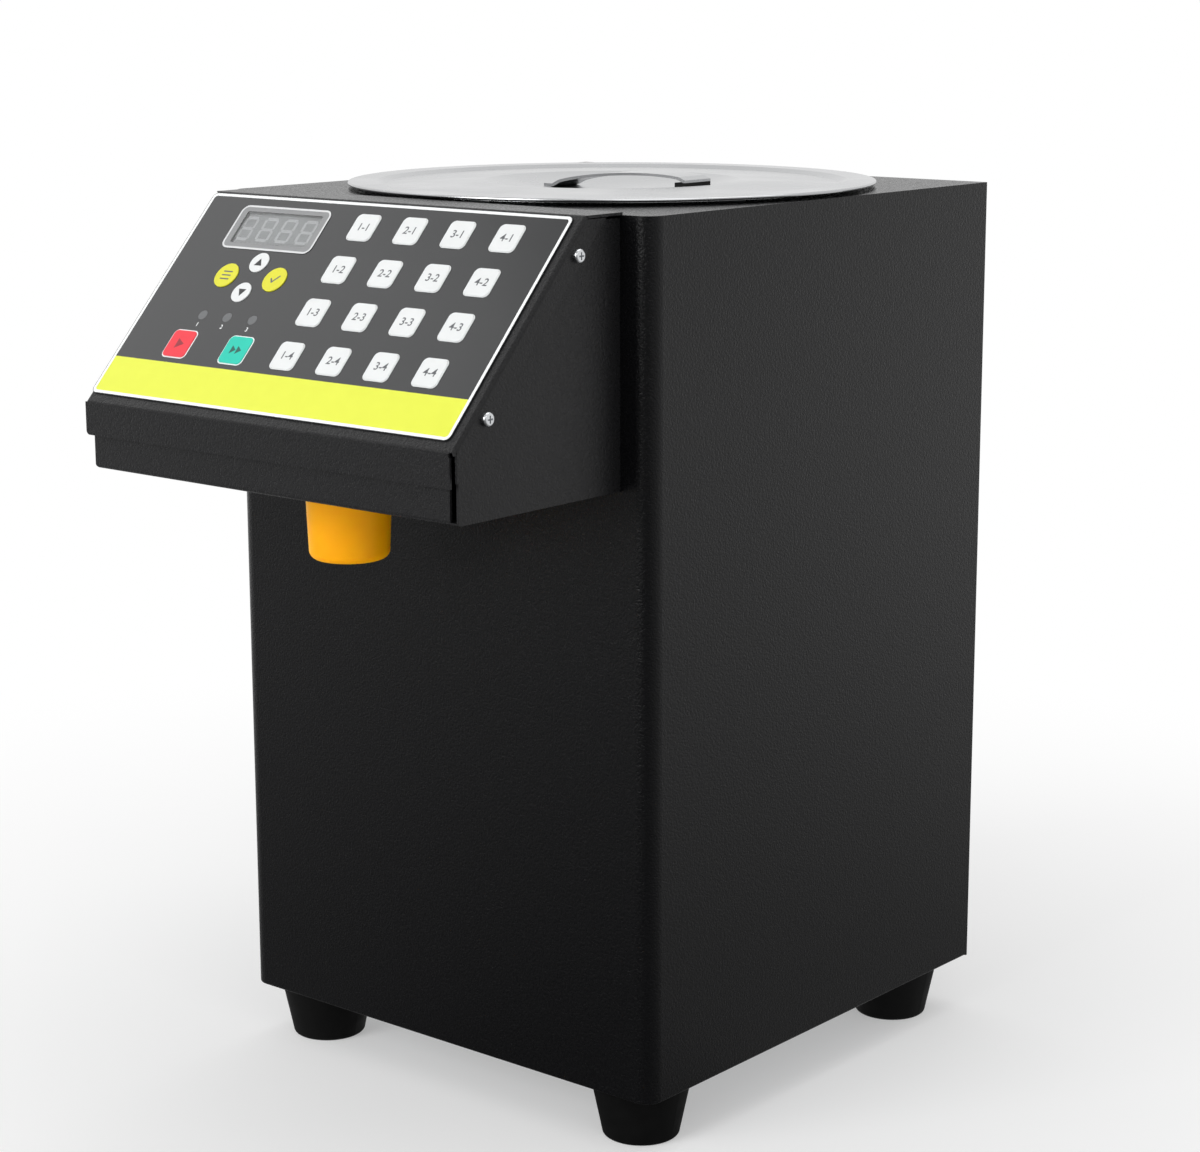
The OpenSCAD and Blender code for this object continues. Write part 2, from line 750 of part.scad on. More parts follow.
module display_window() color("#8d9092") on_slope() translate([window_x, -window_v, -sheet])
    linear_extrude(sheet + film_t + 0.2) rounded_rect(window_w - 0.2, window_h - 0.2, 2.9);

module digit_module() color("#5b5e60") on_slope() translate([window_x, -window_v, 0]) difference() {
    top = sheet + touch;
    translate([-(window_w - 6) / 2, -(window_h - 4) / 2, -board_drop])
        cube([window_w - 6, window_h - 4, board_drop - top]);
    for (i = [-1.5:1:1.5]) translate([i * digit_pitch, 0, -top - 0.3])
        multmatrix([[1, digit_lean, 0, 0], [0, 1, 0, 0], [0, 0, 1, 0], [0, 0, 0, 1]])
            digit_segments(digit_w, digit_h, digit_bar);
}

// Seven bars of one digit, as a cut
module digit_segments(w, h, bar) {
    for (y = [-1, 0, 1])
        translate([-(w - bar) / 2, y * (h - bar) / 2 - bar / 2, 0]) cube([w - bar, bar, 1]);
    for (x = [-1, 1], y = [0, 1])
        translate([x * w / 2 - bar / 2, (y - 1) * (h - bar) / 2 + bar * 0.7, 0])
            cube([bar, (h - bar) / 2 - 1.4 * bar, 1]);
}

module status_lamps() color("#6d7073") on_slope() for (x = lamp_x) translate([x, -lamp_v, -board_drop]) {
    cylinder(r = lamp_r, h = board_drop + film_t);
}

module control_board() color("#2f6b3c") on_slope() {
    difference() {
        translate([board_x - board_w / 2, -board_v - board_h / 2, -board_drop - board_t])
            cube([board_w, board_h, board_t]);
        for (x = [-1, 1], v = [-1, 1])
            translate(concat(board_corner(x, v), -board_drop - board_t - over))
                cylinder(r = stud_r / 2, h = board_t + 2 * over);
    }
    for (k = all_keys()) translate([k[0], -k[1], -board_drop]) {
        translate([-3, -3, 0]) cube([6, 6, switch_h]);
        cylinder(r = 1.7, h = switch_h + 1.5);
    }
    for (x = [-60, -20, 20]) translate([x, -board_v - chip_l / 2, -board_drop - board_t - chip_h])
        cube([chip_w, chip_l, chip_h]);
    translate([50, -board_v - plug_h / 2, -board_drop - board_t - plug_h])
        cube([plug_w, plug_h, plug_h]);
}

// ---- tank ----

// Half section of the tank's outside, as radius and height
function tank_section(r, low) = [[0, low], [r - tank_edge_r, low],
    for (a = [-90:15:0])
        [r - tank_edge_r + tank_edge_r * cos(a), low + tank_edge_r + tank_edge_r * sin(a)]];

module tank() color("#c9cbcd") at_front() translate([0, tank_y, 0]) difference() {
    union() {
        rotate_extrude() polygon(concat(tank_section(tank_out, tank_low),
            [[tank_out, deck_z], [rim_r - 1, deck_z], [rim_r, deck_z + 1],
            [rim_r, deck_z + rim_h - 0.6], [rim_r - 0.6, deck_z + rim_h],
            [rim_r - rim_bead + 0.6, deck_z + rim_h], [rim_r - rim_bead, deck_z + rim_h - 0.6],
            [rim_r - rim_bead, deck_z + tank_t], [0, deck_z + tank_t]]));
    }
    rotate_extrude() polygon(concat(tank_section(tank_r, tank_floor),
        [[tank_r, deck_z + rim_h + over], [0, deck_z + rim_h + over]]));
    translate([fitting_x, fitting_y - tank_y, tank_low - over])
        cylinder(r = stem_r + 0.1, h = 2 * over + tank_t);
}

module heater_band() color("#b48a5a") at_front() translate([0, tank_y, heater_z]) difference() {
    union() {
        cylinder(r = band_r, h = heater_h);
        for (x = [-1, 1]) translate([x * 12 - 2, tank_out - 1, heater_h / 2 - 8]) cube([4, 9, 16]);
    }
    translate([0, 0, -over]) cylinder(r = tank_out + band_gap, h = heater_h + 2 * over);
    translate([-10, 0, -over]) cube([20, tank_out + 20, heater_h + 2 * over]);
}

module insulation_jacket() color("#d8d4c8") at_front() translate([0, tank_y, 0]) difference() {
    low = tank_floor + tank_edge_r;
    translate([0, 0, low]) cylinder(r = jacket_r, h = deck_z - sheet - low);
    translate([0, 0, low - over]) cylinder(r = band_r + touch, h = deck_z - low);
    translate([-16, tank_out - 1, heater_z - over]) cube([32, 30, heater_h + 2 * over]);
}

module temperature_probe() color("#aeb2b6") at_front()
    translate([probe_x, tank_y - probe_forward, tank_low]) {
        translate([0, 0, -4]) cylinder(r = 8, h = 4, $fn = 6);
        translate([0, 0, -20]) cylinder(r = 4, h = 16);
        translate([0, 0, -26]) cylinder(r = 2, h = 6);
    }

module outlet_fitting() color("#c3c6c8") at_front() translate([fitting_x, fitting_y, 0]) difference() {
    union() {
        translate([0, 0, tank_floor]) cylinder(r = 10, h = 2);
        translate([0, 0, tank_low - fitting_drop]) cylinder(r = stem_r, h = fitting_drop + tank_t + 1);
        translate([0, 0, tank_low - 6]) cylinder(r = 11, h = 6, $fn = 6);
        translate([0, 0, tank_low - fitting_drop - barb_l]) cylinder(r = barb_r, h = barb_l);
    }
    translate([0, 0, tank_low - 60]) cylinder(r = barb_r - 1.2, h = 80);
}

// ---- pump ----

function inv(a) = (tan(a) * 180 / PI) - a;

// Outline of an involute gear, with its flanks thinned a little for backlash
function gear_points(teeth, mod, press) =
    let (r = teeth * mod / 2, base = r * cos(press), low = r - 1.25 * mod, top = r + mod,
        half = 90 / teeth - 0.05 / r * 180 / PI, steps = 5,
        radii = concat([low], [for (i = [0:steps]) base + (top - base) * i / steps]),
        lean = [for (q = radii) half + inv(press) - (q > base ? inv(acos(base / q)) : 0)])
    [for (k = [0:teeth - 1], i = [0:2 * len(radii) - 1])
        let (up = i < len(radii), j = up ? i : 2 * len(radii) - 1 - i,
            a = k * 360 / teeth + (up ? -lean[j] : lean[j]))
        radii[j] * [cos(a), sin(a)]];

// A gear and its shaft along +Y, from the front of the gear
module pump_gear(turn, before, after) {
    rotate([-90, 0, 0]) {
        rotate([0, 0, turn]) linear_extrude(gear_w) polygon(gear_points(gear_teeth, gear_module, 28));
        translate([0, 0, -before]) cylinder(r = shaft_r, h = gear_w + before + after);
    }
}

module drive_gear() color("#d0a24a") at_front() translate([pump_x, pump_y + gear_gap, drive_z])
    pump_gear(90, 3, gear_gap + pump_wall + bracket_t + 10);

module idler_gear() color("#d0a24a") at_front() translate([pump_x, pump_y + gear_gap, idler_z])
    pump_gear(90 + 180 / gear_teeth, 3, gear_gap + 4);

module pump_body() color("#9da1a5") at_front() difference() {
    union() {
        translate([pump_x - pump_half_w, pump_y, pump_z - pump_half_h])
            cube([2 * pump_half_w, pump_d, 2 * pump_half_h]);
        translate([pump_x, port_y, pump_z]) rotate([0, 90, 0])
            cylinder(r = barb_r, h = 2 * (pump_half_w + barb_l), center = true);
    }
    for (z = [drive_z, idler_z]) translate([pump_x, pump_y - over, z]) rotate([-90, 0, 0])
        cylinder(r = tip_r + gear_gap, h = over + gear_w + 2 * gear_gap);
    translate([pump_x, pump_y, drive_z]) rotate([-90, 0, 0]) cylinder(r = shaft_r + shaft_gap, h = 80);
    translate([pump_x, pump_y, idler_z]) rotate([-90, 0, 0])
        cylinder(r = shaft_r + shaft_gap, h = gear_w + 2 * gear_gap + 4.2);
    translate([pump_x, port_y, pump_z]) rotate([0, 90, 0])
        cylinder(r = barb_r - 1.2, h = 2 * (pump_half_w + barb_l + over), center = true);
}

module pump_cover() color("#b5b9bc") at_front() difference() {
    union() {
        translate([pump_x - pump_half_w, pump_y - pump_cover_t, pump_z - pump_half_h])
            cube([2 * pump_half_w, pump_cover_t, 2 * pump_half_h]);
        for (x = [-1, 1], z = [-1, 1])
            translate([pump_x + x * (pump_half_w - 5), pump_y - pump_cover_t,
                pump_z + z * (pump_half_h - 5)]) rotate([90, 0, 0]) cylinder(r = 3.4, h = 3, $fn = 6);
    }
    for (z = [drive_z, idler_z]) translate([pump_x, pump_y - 3.2, z]) rotate([-90, 0, 0])
        cylinder(r = shaft_r + shaft_gap, h = 3.2 + over);
}

module motor_bracket() color("#8b8f93") at_front() {
    low = foot_h + sheet;
    difference() {
        translate([pump_x - bracket_w / 2, bracket_y, low])
            cube([bracket_w, bracket_t, drive_z + motor_r + bracket_t - low]);
        translate([pump_x, bracket_y - over, drive_z]) rotate([-90, 0, 0])
            cylinder(r = shaft_r + 1.5, h = bracket_t + 2 * over);
    }
    difference() {
        translate([pump_x - bracket_w / 2, bracket_y + bracket_t, low])
            cube([bracket_w, bracket_foot_l, bracket_t]);
        for (x = [-1, 1]) translate([pump_x + x * (bracket_w / 2 - 8), bracket_y + 24, low - over])
            cylinder(r = foot_bolt_r + 0.1, h = bracket_t + 2 * over);
    }
}

module pump_motor() color("#6f7377") at_front() translate([pump_x, motor_y, drive_z]) rotate([-90, 0, 0])
    difference() {
        union() {
            cylinder(r = motor_r, h = 20);
            translate([0, 0, 20]) cylinder(r = motor_r - 3, h = motor_l - 20);
            translate([0, 0, motor_l]) cylinder(r = 9, h = 4);
            for (x = [-1, 1]) translate([x * 10 - 2.4, -1, motor_l]) cube([4.8, 1, 9]);
        }
        translate([0, 0, -over]) cylinder(r = shaft_r + shaft_gap, h = 12 + over);
    }

module suction_hose() color("#e4e2da") at_front() hose([
    [fitting_x, fitting_y, tank_low - fitting_drop - 0.2],
    [fitting_x, fitting_y, pump_z],
    [pump_x + pump_half_w + 0.2, port_y, pump_z]]);

module delivery_hose() color("#e4e2da") at_front() hose([
    [pump_x - pump_half_w - 0.2, port_y, pump_z],
    [hose_x, port_y, pump_z], [hose_x, hose_y, pump_z], [hose_x, hose_y, hose_z],
    [hose_x, -outlet_reach, hose_z], [0, -outlet_reach, hose_z],
    [0, -outlet_reach, stem_top + 0.2]]);

// A clip round a hose, with its ears
module hose_clip(p, d) {
    s = side_of(d);
    turned(s, cross(d, s), d, p) difference() {
        union() {
            cylinder(r = hose_r + 0.9, h = clip_w);
            translate([hose_r, -2.5, 0]) cube([5, 5, clip_w]);
        }
        translate([0, 0, -over]) cylinder(r = hose_r + 0.05, h = clip_w + 2 * over);
        translate([hose_r + 0.5, -0.6, -over]) cube([6, 1.2, clip_w + 2 * over]);
    }
}

module hose_clips() color("#b9bcc0") at_front() {
    hose_clip([fitting_x, fitting_y, tank_low - fitting_drop - 10], [0, 0, 1]);
    hose_clip([pump_x + pump_half_w + 4, port_y, pump_z], [1, 0, 0]);
    hose_clip([pump_x - pump_half_w - 4, port_y, pump_z], [-1, 0, 0]);
    hose_clip([0, -outlet_reach, stem_top + 3], [0, 0, 1]);
}

// ---- outlet ----

module outlet_nozzle() color("#c9cbcd") at_front() translate([0, -outlet_reach, 0]) difference() {
    union() {
        translate([0, 0, head_floor - collar_h]) cylinder(r = collar_r, h = collar_h);
        translate([0, 0, head_floor - over]) cylinder(r = stem_r, h = stem_top - head_floor + over);
        translate([0, 0, stem_top]) cylinder(r = barb_r, h = barb_l);
        translate([0, 0, head_floor - collar_h - 6]) cylinder(r = 5, h = 7);
    }
    translate([0, 0, head_floor - 60]) cylinder(r = barb_r - 1.2, h = 140);
}

module outlet_nut() color("#b9bcc0") at_front() translate([0, -outlet_reach, head_floor + sheet])
    difference() {
        cylinder(r = 11, h = 6, $fn = 6);
        translate([0, 0, -over]) cylinder(r = stem_r + 0.05, h = 6 + 2 * over);
    }

module nozzle_cap() color("#f0a51c") at_front() translate([0, -outlet_reach, head_floor - touch - cap_h])
    rotate_extrude() polygon([[0, 0],
        for (a = [-90:15:0]) [cap_low_r - 4 + 4 * cos(a), 4 + 4 * sin(a)],
        [cap_top_r, cap_h], [collar_r + cap_gap, cap_h], [collar_r + cap_gap, cap_h - collar_h],
        [collar_r - 1, cap_h - collar_h - 1], [collar_r - 1, 5], [collar_r - 3, 2.4], [0, 2.4]]);

// ---- rear fittings ----

module power_board() color("#2f6b3c") at_front() {
    x = inner_w / 2 - power_board_side - power_board_w;
    y = case_d - foot_inset_back - power_board_gap - power_board_l;
    translate([x, y, foot_h + sheet]) {
        for (a = [stud_inset, power_board_w - stud_inset], b = [stud_inset, power_board_l - stud_inset])
            translate([a, b, 0]) cylinder(r = 1.5 * stud_r, h = power_board_h);
        translate([0, 0, power_board_h]) cube([power_board_w, power_board_l, board_t]);
    }
    translate([x, y, foot_h + sheet + power_board_h + board_t]) {
        translate([coil_x, coil_y, 0]) cube([coil_w, coil_l, coil_h]);
        for (b = [can_y, can_y + can_pitch]) translate([can_x, b, 0]) cylinder(r = can_r, h = can_h);
        translate([relay_x, relay_y, 0]) cube([relay_w, relay_l, relay_h]);
        translate([terminal_x, terminal_y, 0]) cube([terminal_w, terminal_l, terminal_h]);
    }
}

module mains_inlet() color("#161617") at_front() translate([inlet_x, rear_y, inlet_z]) rotate([-90, 0, 0]) {
    difference() {
        union() {
            linear_extrude(2.5) rounded_rect(socket_w + 10, socket_h + 8, 4);
            linear_extrude(inlet_out) rounded_rect(socket_w + 3, socket_h + 3, 2.6);
            translate([0, 0, -socket_d - 3]) linear_extrude(socket_d + 4)
                rounded_rect(socket_w + 3, socket_h + 3, 2);
        }
        translate([0, 0, inlet_out - socket_d]) linear_extrude(socket_d + over)
            rounded_rect(socket_w, socket_h, 2);
    }
    for (p = [[-7, 1.5], [0, -2.5], [7, 1.5]])
        translate([p[0] - 1, p[1] - 2, inlet_out - socket_d]) cube([2, 4, pin_l]);
}

module switch_frame() color("#161617") at_front() translate([switch_x, rear_y, inlet_z]) rotate([-90, 0, 0])
    difference() {
        union() {
            linear_extrude(2) rounded_rect(switch_w, switch_l, 1.6);
            translate([0, 0, -17]) linear_extrude(18) square([switch_w - 2, switch_l - 2], center = true);
        }
        translate([-rocker_w / 2 - 0.2, -rocker_l / 2 - 0.6, -10])
            cube([rocker_w + 0.4, rocker_l + 1.2, 10 + 2 + over]);
        translate([-(rocker_w + 2.2) / 2, 0, -rocker_in]) rotate([0, 90, 0])
            cylinder(r = rocker_pin_r + 0.05, h = rocker_w + 2.2);
    }

module power_rocker() color("#c32027") at_front() translate([switch_x, rear_y - rocker_in, inlet_z])
    rotate([-rocker_tilt, 0, 0]) {
        translate([-rocker_w / 2, 0, 0]) rotate([90, 0, 90]) linear_extrude(rocker_w) polygon([
            [-5, -5], [-5, 5], [-0.5, rocker_l / 2], [2.8, rocker_l / 2], [1.2, 2], [1.2, -2],
            [2.8, -rocker_l / 2], [-0.5, -rocker_l / 2]]);
        rotate([0, 90, 0]) cylinder(r = rocker_pin_r, h = rocker_w + 1.6, center = true);
    }

module case_screws() color("#c6c9cc") at_front() {
    for (v = cover_screw_v, x = [-1, 1])
        translate(cover_screw_place(x * head_w / 2, v)) rotate([0, x * 90, 0]) pan_screw(screw_l);
    for (x = [-1, 1], z = rear_screw_z)
        translate([x * rear_screw_x, rear_y, z]) rotate([-90, 0, 0]) pan_screw(screw_l);
}

// ---- lid ----

// Height of the lid's upper face at a radius, from the flat rim
function lid_face(r) = r <= bowl_r ? -crest_drop - bowl_depth * (1 - pow(r / bowl_r, 2)) :
    r <= bowl_r + crest_w ? -crest_drop :
    r <= lid_step_r - 4 ? -crest_drop - (dip_drop - crest_drop) * (r - bowl_r - crest_w)
        / (lid_step_r - 4 - bowl_r - crest_w) :
    r < lid_step_r ? -dip_drop * (lid_step_r - r) / 4 : 0;

lid_radii = concat([for (i = [0:12]) bowl_r * i / 12], [bowl_r + crest_w, lid_step_r - 4, lid_step_r]);

module lid_shell() color("#cfd1d3") at_front() translate([0, tank_y, lid_top]) rotate_extrude()
    polygon(concat(
        [for (r = lid_radii) [r, lid_face(r)]],
        [for (a = [90:-30:-90]) [lid_r - lid_hem + lid_hem * cos(a), -lid_hem + lid_hem * sin(a)]],
        [[lid_r - 3 * lid_hem, -2 * lid_hem], [lid_r - 3 * lid_hem, -lid_t]],
        [for (i = [len(lid_radii) - 1:-1:0]) [lid_radii[i], lid_face(lid_radii[i]) - lid_t]]));

// Everything below the lid's upper face, to cut what stands in the bowl to its shape
module below_lid_face() {
    rotate_extrude() polygon(concat([for (r = lid_radii) [r, lid_face(r)]],
        [[lid_step_r, -30], [0, -30]]));
}

strap_low = lid_face(strap_span / 2 - strap_shift) + strap_t + 0.4;
strap_high = lid_face(strap_span / 2 + strap_shift) + pad_h + strap_t;

// Height of the strap's upper face at a share of its span
function strap_face(s) = strap_low + (strap_high - strap_low) * s + strap_rise * sqrt(max(0, sin(180 * s)));

module lid_strap() color("#cfd1d3") at_front() translate([strap_shift, tank_y, lid_top]) difference() {
    steps = 20;
    tab = -strap_span / 2 - strap_tab;
    translate([0, strap_w / 2, 0]) rotate([90, 0, 0]) linear_extrude(strap_w) polygon(concat(
        [[tab, strap_low], [tab, strap_low - strap_t - 0.4]],
        [for (i = [0:steps]) [(i / steps - 0.5) * (strap_span - 2), strap_face(i / steps) - strap_t]],
        [[strap_span / 2, strap_high - strap_t], [strap_span / 2, strap_high]],
        [for (i = [steps:-1:0]) [(i / steps - 0.5) * strap_span, strap_face(i / steps)]]));
    translate([-strap_shift, 0, 0]) below_lid_face();
}

module strap_pad() color("#101010") at_front() translate([0, tank_y, lid_top]) difference() {
    x = strap_shift + strap_span / 2;
    translate([x - pad_l, -strap_w / 2, strap_high - strap_t - pad_h - 3])
        cube([pad_l, strap_w, pad_h + 3]);
    below_lid_face();
}

// ---- assembly ----

outer_case();
top_deck();
base_plate();
rear_panel();
rubber_feet();
foot_bolts();
head_tray();
panel_cover();
panel_film();
case_screws();
display_window();
digit_module();
status_lamps();
control_board();
tank();
heater_band();
insulation_jacket();
temperature_probe();
outlet_fitting();
suction_hose();
delivery_hose();
hose_clips();
pump_body();
pump_cover();
pump_motor();
motor_bracket();
outlet_nozzle();
outlet_nut();
power_board();
mains_inlet();
switch_frame();
lid_shell();
lid_strap();
strap_pad();
drive_gear();
idler_gear();
power_rocker();
nozzle_cap();
for (r = [1:4], c = [1:4])
    recipe_key(c, r);
key_left_round();
key_right_round();
key_up();
key_down();
key_red();
key_teal();
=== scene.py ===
"""Looks of the countertop fructose dispenser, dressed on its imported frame.

Lengths are metres in the frame's own axes: +Z up, the front faces -Y, +X to the viewer's right.
Real sizes are written in millimetres and turned by MM.
"""

import math

import bpy
from mathutils import Matrix, Vector


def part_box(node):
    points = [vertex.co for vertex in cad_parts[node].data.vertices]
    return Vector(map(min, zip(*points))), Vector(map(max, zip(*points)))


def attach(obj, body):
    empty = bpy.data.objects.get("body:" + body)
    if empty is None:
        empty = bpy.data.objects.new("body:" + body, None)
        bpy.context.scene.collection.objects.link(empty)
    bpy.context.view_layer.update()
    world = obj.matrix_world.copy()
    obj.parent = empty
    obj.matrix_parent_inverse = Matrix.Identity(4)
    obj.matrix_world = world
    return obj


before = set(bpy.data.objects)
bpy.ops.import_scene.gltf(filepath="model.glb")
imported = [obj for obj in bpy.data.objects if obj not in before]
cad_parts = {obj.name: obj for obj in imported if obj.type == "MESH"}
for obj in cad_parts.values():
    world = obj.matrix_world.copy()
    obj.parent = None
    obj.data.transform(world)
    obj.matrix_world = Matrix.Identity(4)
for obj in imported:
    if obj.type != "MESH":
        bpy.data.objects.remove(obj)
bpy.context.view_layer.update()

MM = 0.001
WHITE = (1, 1, 1, 1)

# ---- sizes the pieces are worked out from, in millimetres ----

# The slope that carries the film starts a level strip ahead of the casing's front.
# x runs across it and v down it, from its top edge.
FRONT_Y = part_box("outer_case")[0].y / MM
DECK_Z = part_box("top_deck")[1].z / MM
SHEET = 1.2
STRIP_D = 22.5
SLOPE_RUN = 81.0
SLOPE_DROP = 86.8
SLOPE_TILT = math.atan2(SLOPE_DROP, SLOPE_RUN)
SLOPE_ORIGIN = Vector((0, FRONT_Y - STRIP_D, DECK_Z + SHEET))
SLOPE_DOWN = Vector((0, -math.cos(SLOPE_TILT), -math.sin(SLOPE_TILT)))
SLOPE_OUT = Vector((0, -math.sin(SLOPE_TILT), math.cos(SLOPE_TILT)))

# The film, the border and the band printed on it, and how thick a layer of ink is
FILM_T = 0.6
FILM_W = 214.0
FILM_H = 112.8
FILM_X = -2.4
FILM_V = 1.3
FILM_EDGE = 0.3
BORDER = 1.4
BORDER_T = 0.03
BORDER_OUTER_R = 2.7
BORDER_INNER_R = 1.6
BAND_TOP = 94.0
BAND_R = 0.4
INK_T = 0.02

# The recipe keys: the first one's place, the size of all, and the figures and the field printed with them.
# KEY_TOP is how far the face of every key stands out of the slope.
KEY_ROWS = 4
KEY_COLUMNS = 4
KEY_TOP = 1.0
KEY_X = -6.2
KEY_V = 14.9
KEY_W = 12.8
KEY_H = 13.6
KEY_R = 2.0
KEY_PITCH_X = 27.4
KEY_PITCH_V = 23.0
KEY_FIGURE = 5.5
FIELD_W = 14.1
FIELD_H = 14.4
FIELD_R = 2.6
FIELD_T = 0.25
FIELD_GAP = 0.03

# Where the other keys are, as (x, v), and the rims of the start keys, as width, height and corner radius
ROUND_KEYS = {"key_left_round": (-70.2, 46.0), "key_right_round": (-39.8, 46.0)}
ARROW_KEYS = {"key_up": (-55.0, 37.8), "key_down": (-55.0, 54.2)}
START_KEYS = {"key_red": (-73.0, 84.0), "key_teal": (-37.6, 84.0)}
RIM_OUTER = (15.1, 15.1, 2.8)
RIM_INNER = (13.9, 13.9, 2.2)
RIM_T = 0.05

# Where the status lamps are, as (x, v), and the figures below them
STATUS_LAMPS = ((-70.0, 67.8), (-54.6, 67.8), (-38.8, 67.8))
LAMP_FIGURE = 3.0
LAMP_FIGURE_DROP = 5.2

# The window, and its outlines: how far inside its edge they lie across and down, and their corner radius
WINDOW_X = -57.2
WINDOW_V = 19.2
WINDOW_W = 54.6
WINDOW_H = 22.6
WINDOW_PROUD = 0.2
WINDOW_FRAME_T = 0.06
WINDOW_FRAME_OUTER = (-0.7, -0.7, 4.0)
WINDOW_FRAME_INNER = (0.3, 0.3, 2.8)
WINDOW_MARGIN_OUTER = (0.35, 0.35, 2.7)
WINDOW_MARGIN_INNER = (3.6, 2.6, 1.0)
DIGIT_FACE_OUTLINE = (3.1, 2.1, 0.5)

# The digits behind the window, and how far out of the slope their face and their bars start
DIGIT_COUNT = 4
DIGIT_W = 8.6
DIGIT_H = 13.2
DIGIT_PITCH = 12.4
DIGIT_SHIFT = -0.6
DIGIT_FACE_OUT = -SHEET - 0.29
DIGIT_FACE_T = 0.04
BAR = 1.5
BAR_R = 0.4
BAR_OUT = -SHEET - 0.24
BAR_T = 0.06

# How much shorter, in bar widths: a flat bar than the digit, and a tall bar than the step between flat ones
FLAT_BAR_CUT = 1.3
TALL_BAR_CUT = 0.5

# Half the thickness of a figure, and how far its strokes are widened, as a share of its size
FIGURE_T = 0.01
FIGURE_WEIGHT = 0.012

# Rounds on the nodes' edges that turn by more than EDGE_ANGLE degrees
EDGE = {
    "outer_case": 0.5, "top_deck": 0.4, "rear_panel": 0.4, "head_tray": 0.35, "panel_cover": 0.3,
    "lid_strap": 0.3, "display_window": 0.15, "nozzle_cap": 0.5,
}
KEY_EDGE = 0.25
EDGE_ANGLE = 50

# ---- camera: its place and lens in millimetres, its angles in degrees ----

CAMERA_X = 840.4
CAMERA_AHEAD = 889.1
CAMERA_Z = 507.1
CAMERA_YAW = 39.883
CAMERA_PITCH = 12.04
CAMERA_ROLL = -0.136
CAMERA_LENS = 83.66
CAMERA_SENSOR = 36.0

# ---- light and ground, in metres and watts ----

# How far the camera sees, half the floor's width, and the point that the lamps face
VIEW_REACH = 50
FLOOR_HALF = 9
LAMP_AIM = Vector((0, 0, 0.22))

# Each lamp's name, place, size and power
STUDIO_LAMPS = (
    ("lamp_left", (-0.5, -2.6, 1.15), 1.6, 44),
    ("lamp_right", (2.0, -1.2, 1.5), 1.6, 9),
    ("lamp_top", (0.2, 0.6, 2.6), 2.2, 20),
    ("lamp_film", (-2.0, -0.55, 1.9), 1.1, 3.5),
)

# The room's light on the object. In reflections its front, towards ROOM_FRONT, is dimmer: the level falls
# from 1 square to that direction to FRONT_LEVEL where the cosine of the angle to it is FRONT_COSINE.
ROOM_STRENGTH = 0.5
ROOM_FRONT = (0.35, -0.94, 0)
FRONT_COSINE = 0.9
FRONT_LEVEL = 0.25

# The paper where it is seen: plain white covers this share of it near the object and all of it far away
WHITE_NEAR = 0.2
WHITE_FAR = 0.8
WHITE_SHARE = 0.35

# The paper in reflections: this share of the room's level near the object and all of it far away. The
# dimmer paper near the object is painted shade round it.
MIRROR_NEAR = 0.3
MIRROR_FAR = 1.5
MIRROR_SHADE_SHARE = 0.35


# ---- small tools ----


def linear(colour):
    """Turns an sRGB hex colour into linear RGBA."""
    parts = [int(colour[i : i + 2], 16) / 255 for i in (1, 3, 5)]
    return [p / 12.92 if p <= 0.04045 else ((p + 0.055) / 1.055) ** 2.4 for p in parts] + [1.0]


def add(tree, kind, settings=None, links=None):
    """Adds a node. Settings are attributes or input values, and links give an input its source."""
    made = tree.nodes.new(kind)
    for key, value in (settings or {}).items():
        if isinstance(key, str) and hasattr(made, key):
            setattr(made, key, value)
        else:
            made.inputs[key].default_value = value
    for key, source in (links or {}).items():
        tree.links.new(source, made.inputs[key])
    return made


def new_material(name, colour, roughness, metallic=0.0, **sockets):
    """A material with one Principled shader; returns the material, its tree and the shader."""
    material = bpy.data.materials.new(name)
    material.use_nodes = True
    tree = material.node_tree
    shader = tree.nodes["Principled BSDF"]
    shader.inputs["Base Color"].default_value = linear(colour)
    shader.inputs["Roughness"].default_value = roughness
    shader.inputs["Metallic"].default_value = metallic
    for key, value in sockets.items():
        shader.inputs[key.replace("_", " ")].default_value = value
    return material, tree, shader


def place_of(tree):
    """Real coordinates on the piece, in metres."""
    return add(tree, "ShaderNodeTexCoord").outputs["Object"]


def grain(tree, size_mm, detail=2.0, stretch=(1, 1, 1)):
    """Noise with features about size_mm across; stretch lengthens it along an axis."""
    spread = add(tree, "ShaderNodeMapping", {"Scale": [1 / s for s in stretch]}, {"Vector": place_of(tree)})
    noise = {"Scale": 1 / (size_mm * MM), "Detail": detail}
    return add(tree, "ShaderNodeTexNoise", noise, {"Vector": spread.outputs[0]}).outputs["Fac"]


def tint(tree, shader, factor, first, second):
    """Blends the shader's base colour between two hex colours by a factor."""
    blend = add(tree, "ShaderNodeMix", {"data_type": "RGBA"}, {0: factor})
    blend.inputs[6].default_value = linear(first)
    blend.inputs[7].default_value = linear(second)
    tree.links.new(blend.outputs[2], shader.inputs["Base Color"])


def gloss(tree, shader, factor, smooth, rough, low=0.3, high=0.7):
    """Varies the shader's roughness from smooth to rough as the factor goes from low to high."""
    ends = {"From Min": low, "From Max": high, "To Min": smooth, "To Max": rough}
    spread = add(tree, "ShaderNodeMapRange", ends, {"Value": factor})
    tree.links.new(spread.outputs[0], shader.inputs["Roughness"])


def bump(tree, shader, height, depth_mm, strength):
    """Gives the shader's surface a relief from a height map."""
    settings = {"Distance": depth_mm * MM, "Strength": strength}
    raised = add(tree, "ShaderNodeBump", settings, {"Height": height})
    tree.links.new(raised.outputs[0], shader.inputs["Normal"])


# ---- materials ----


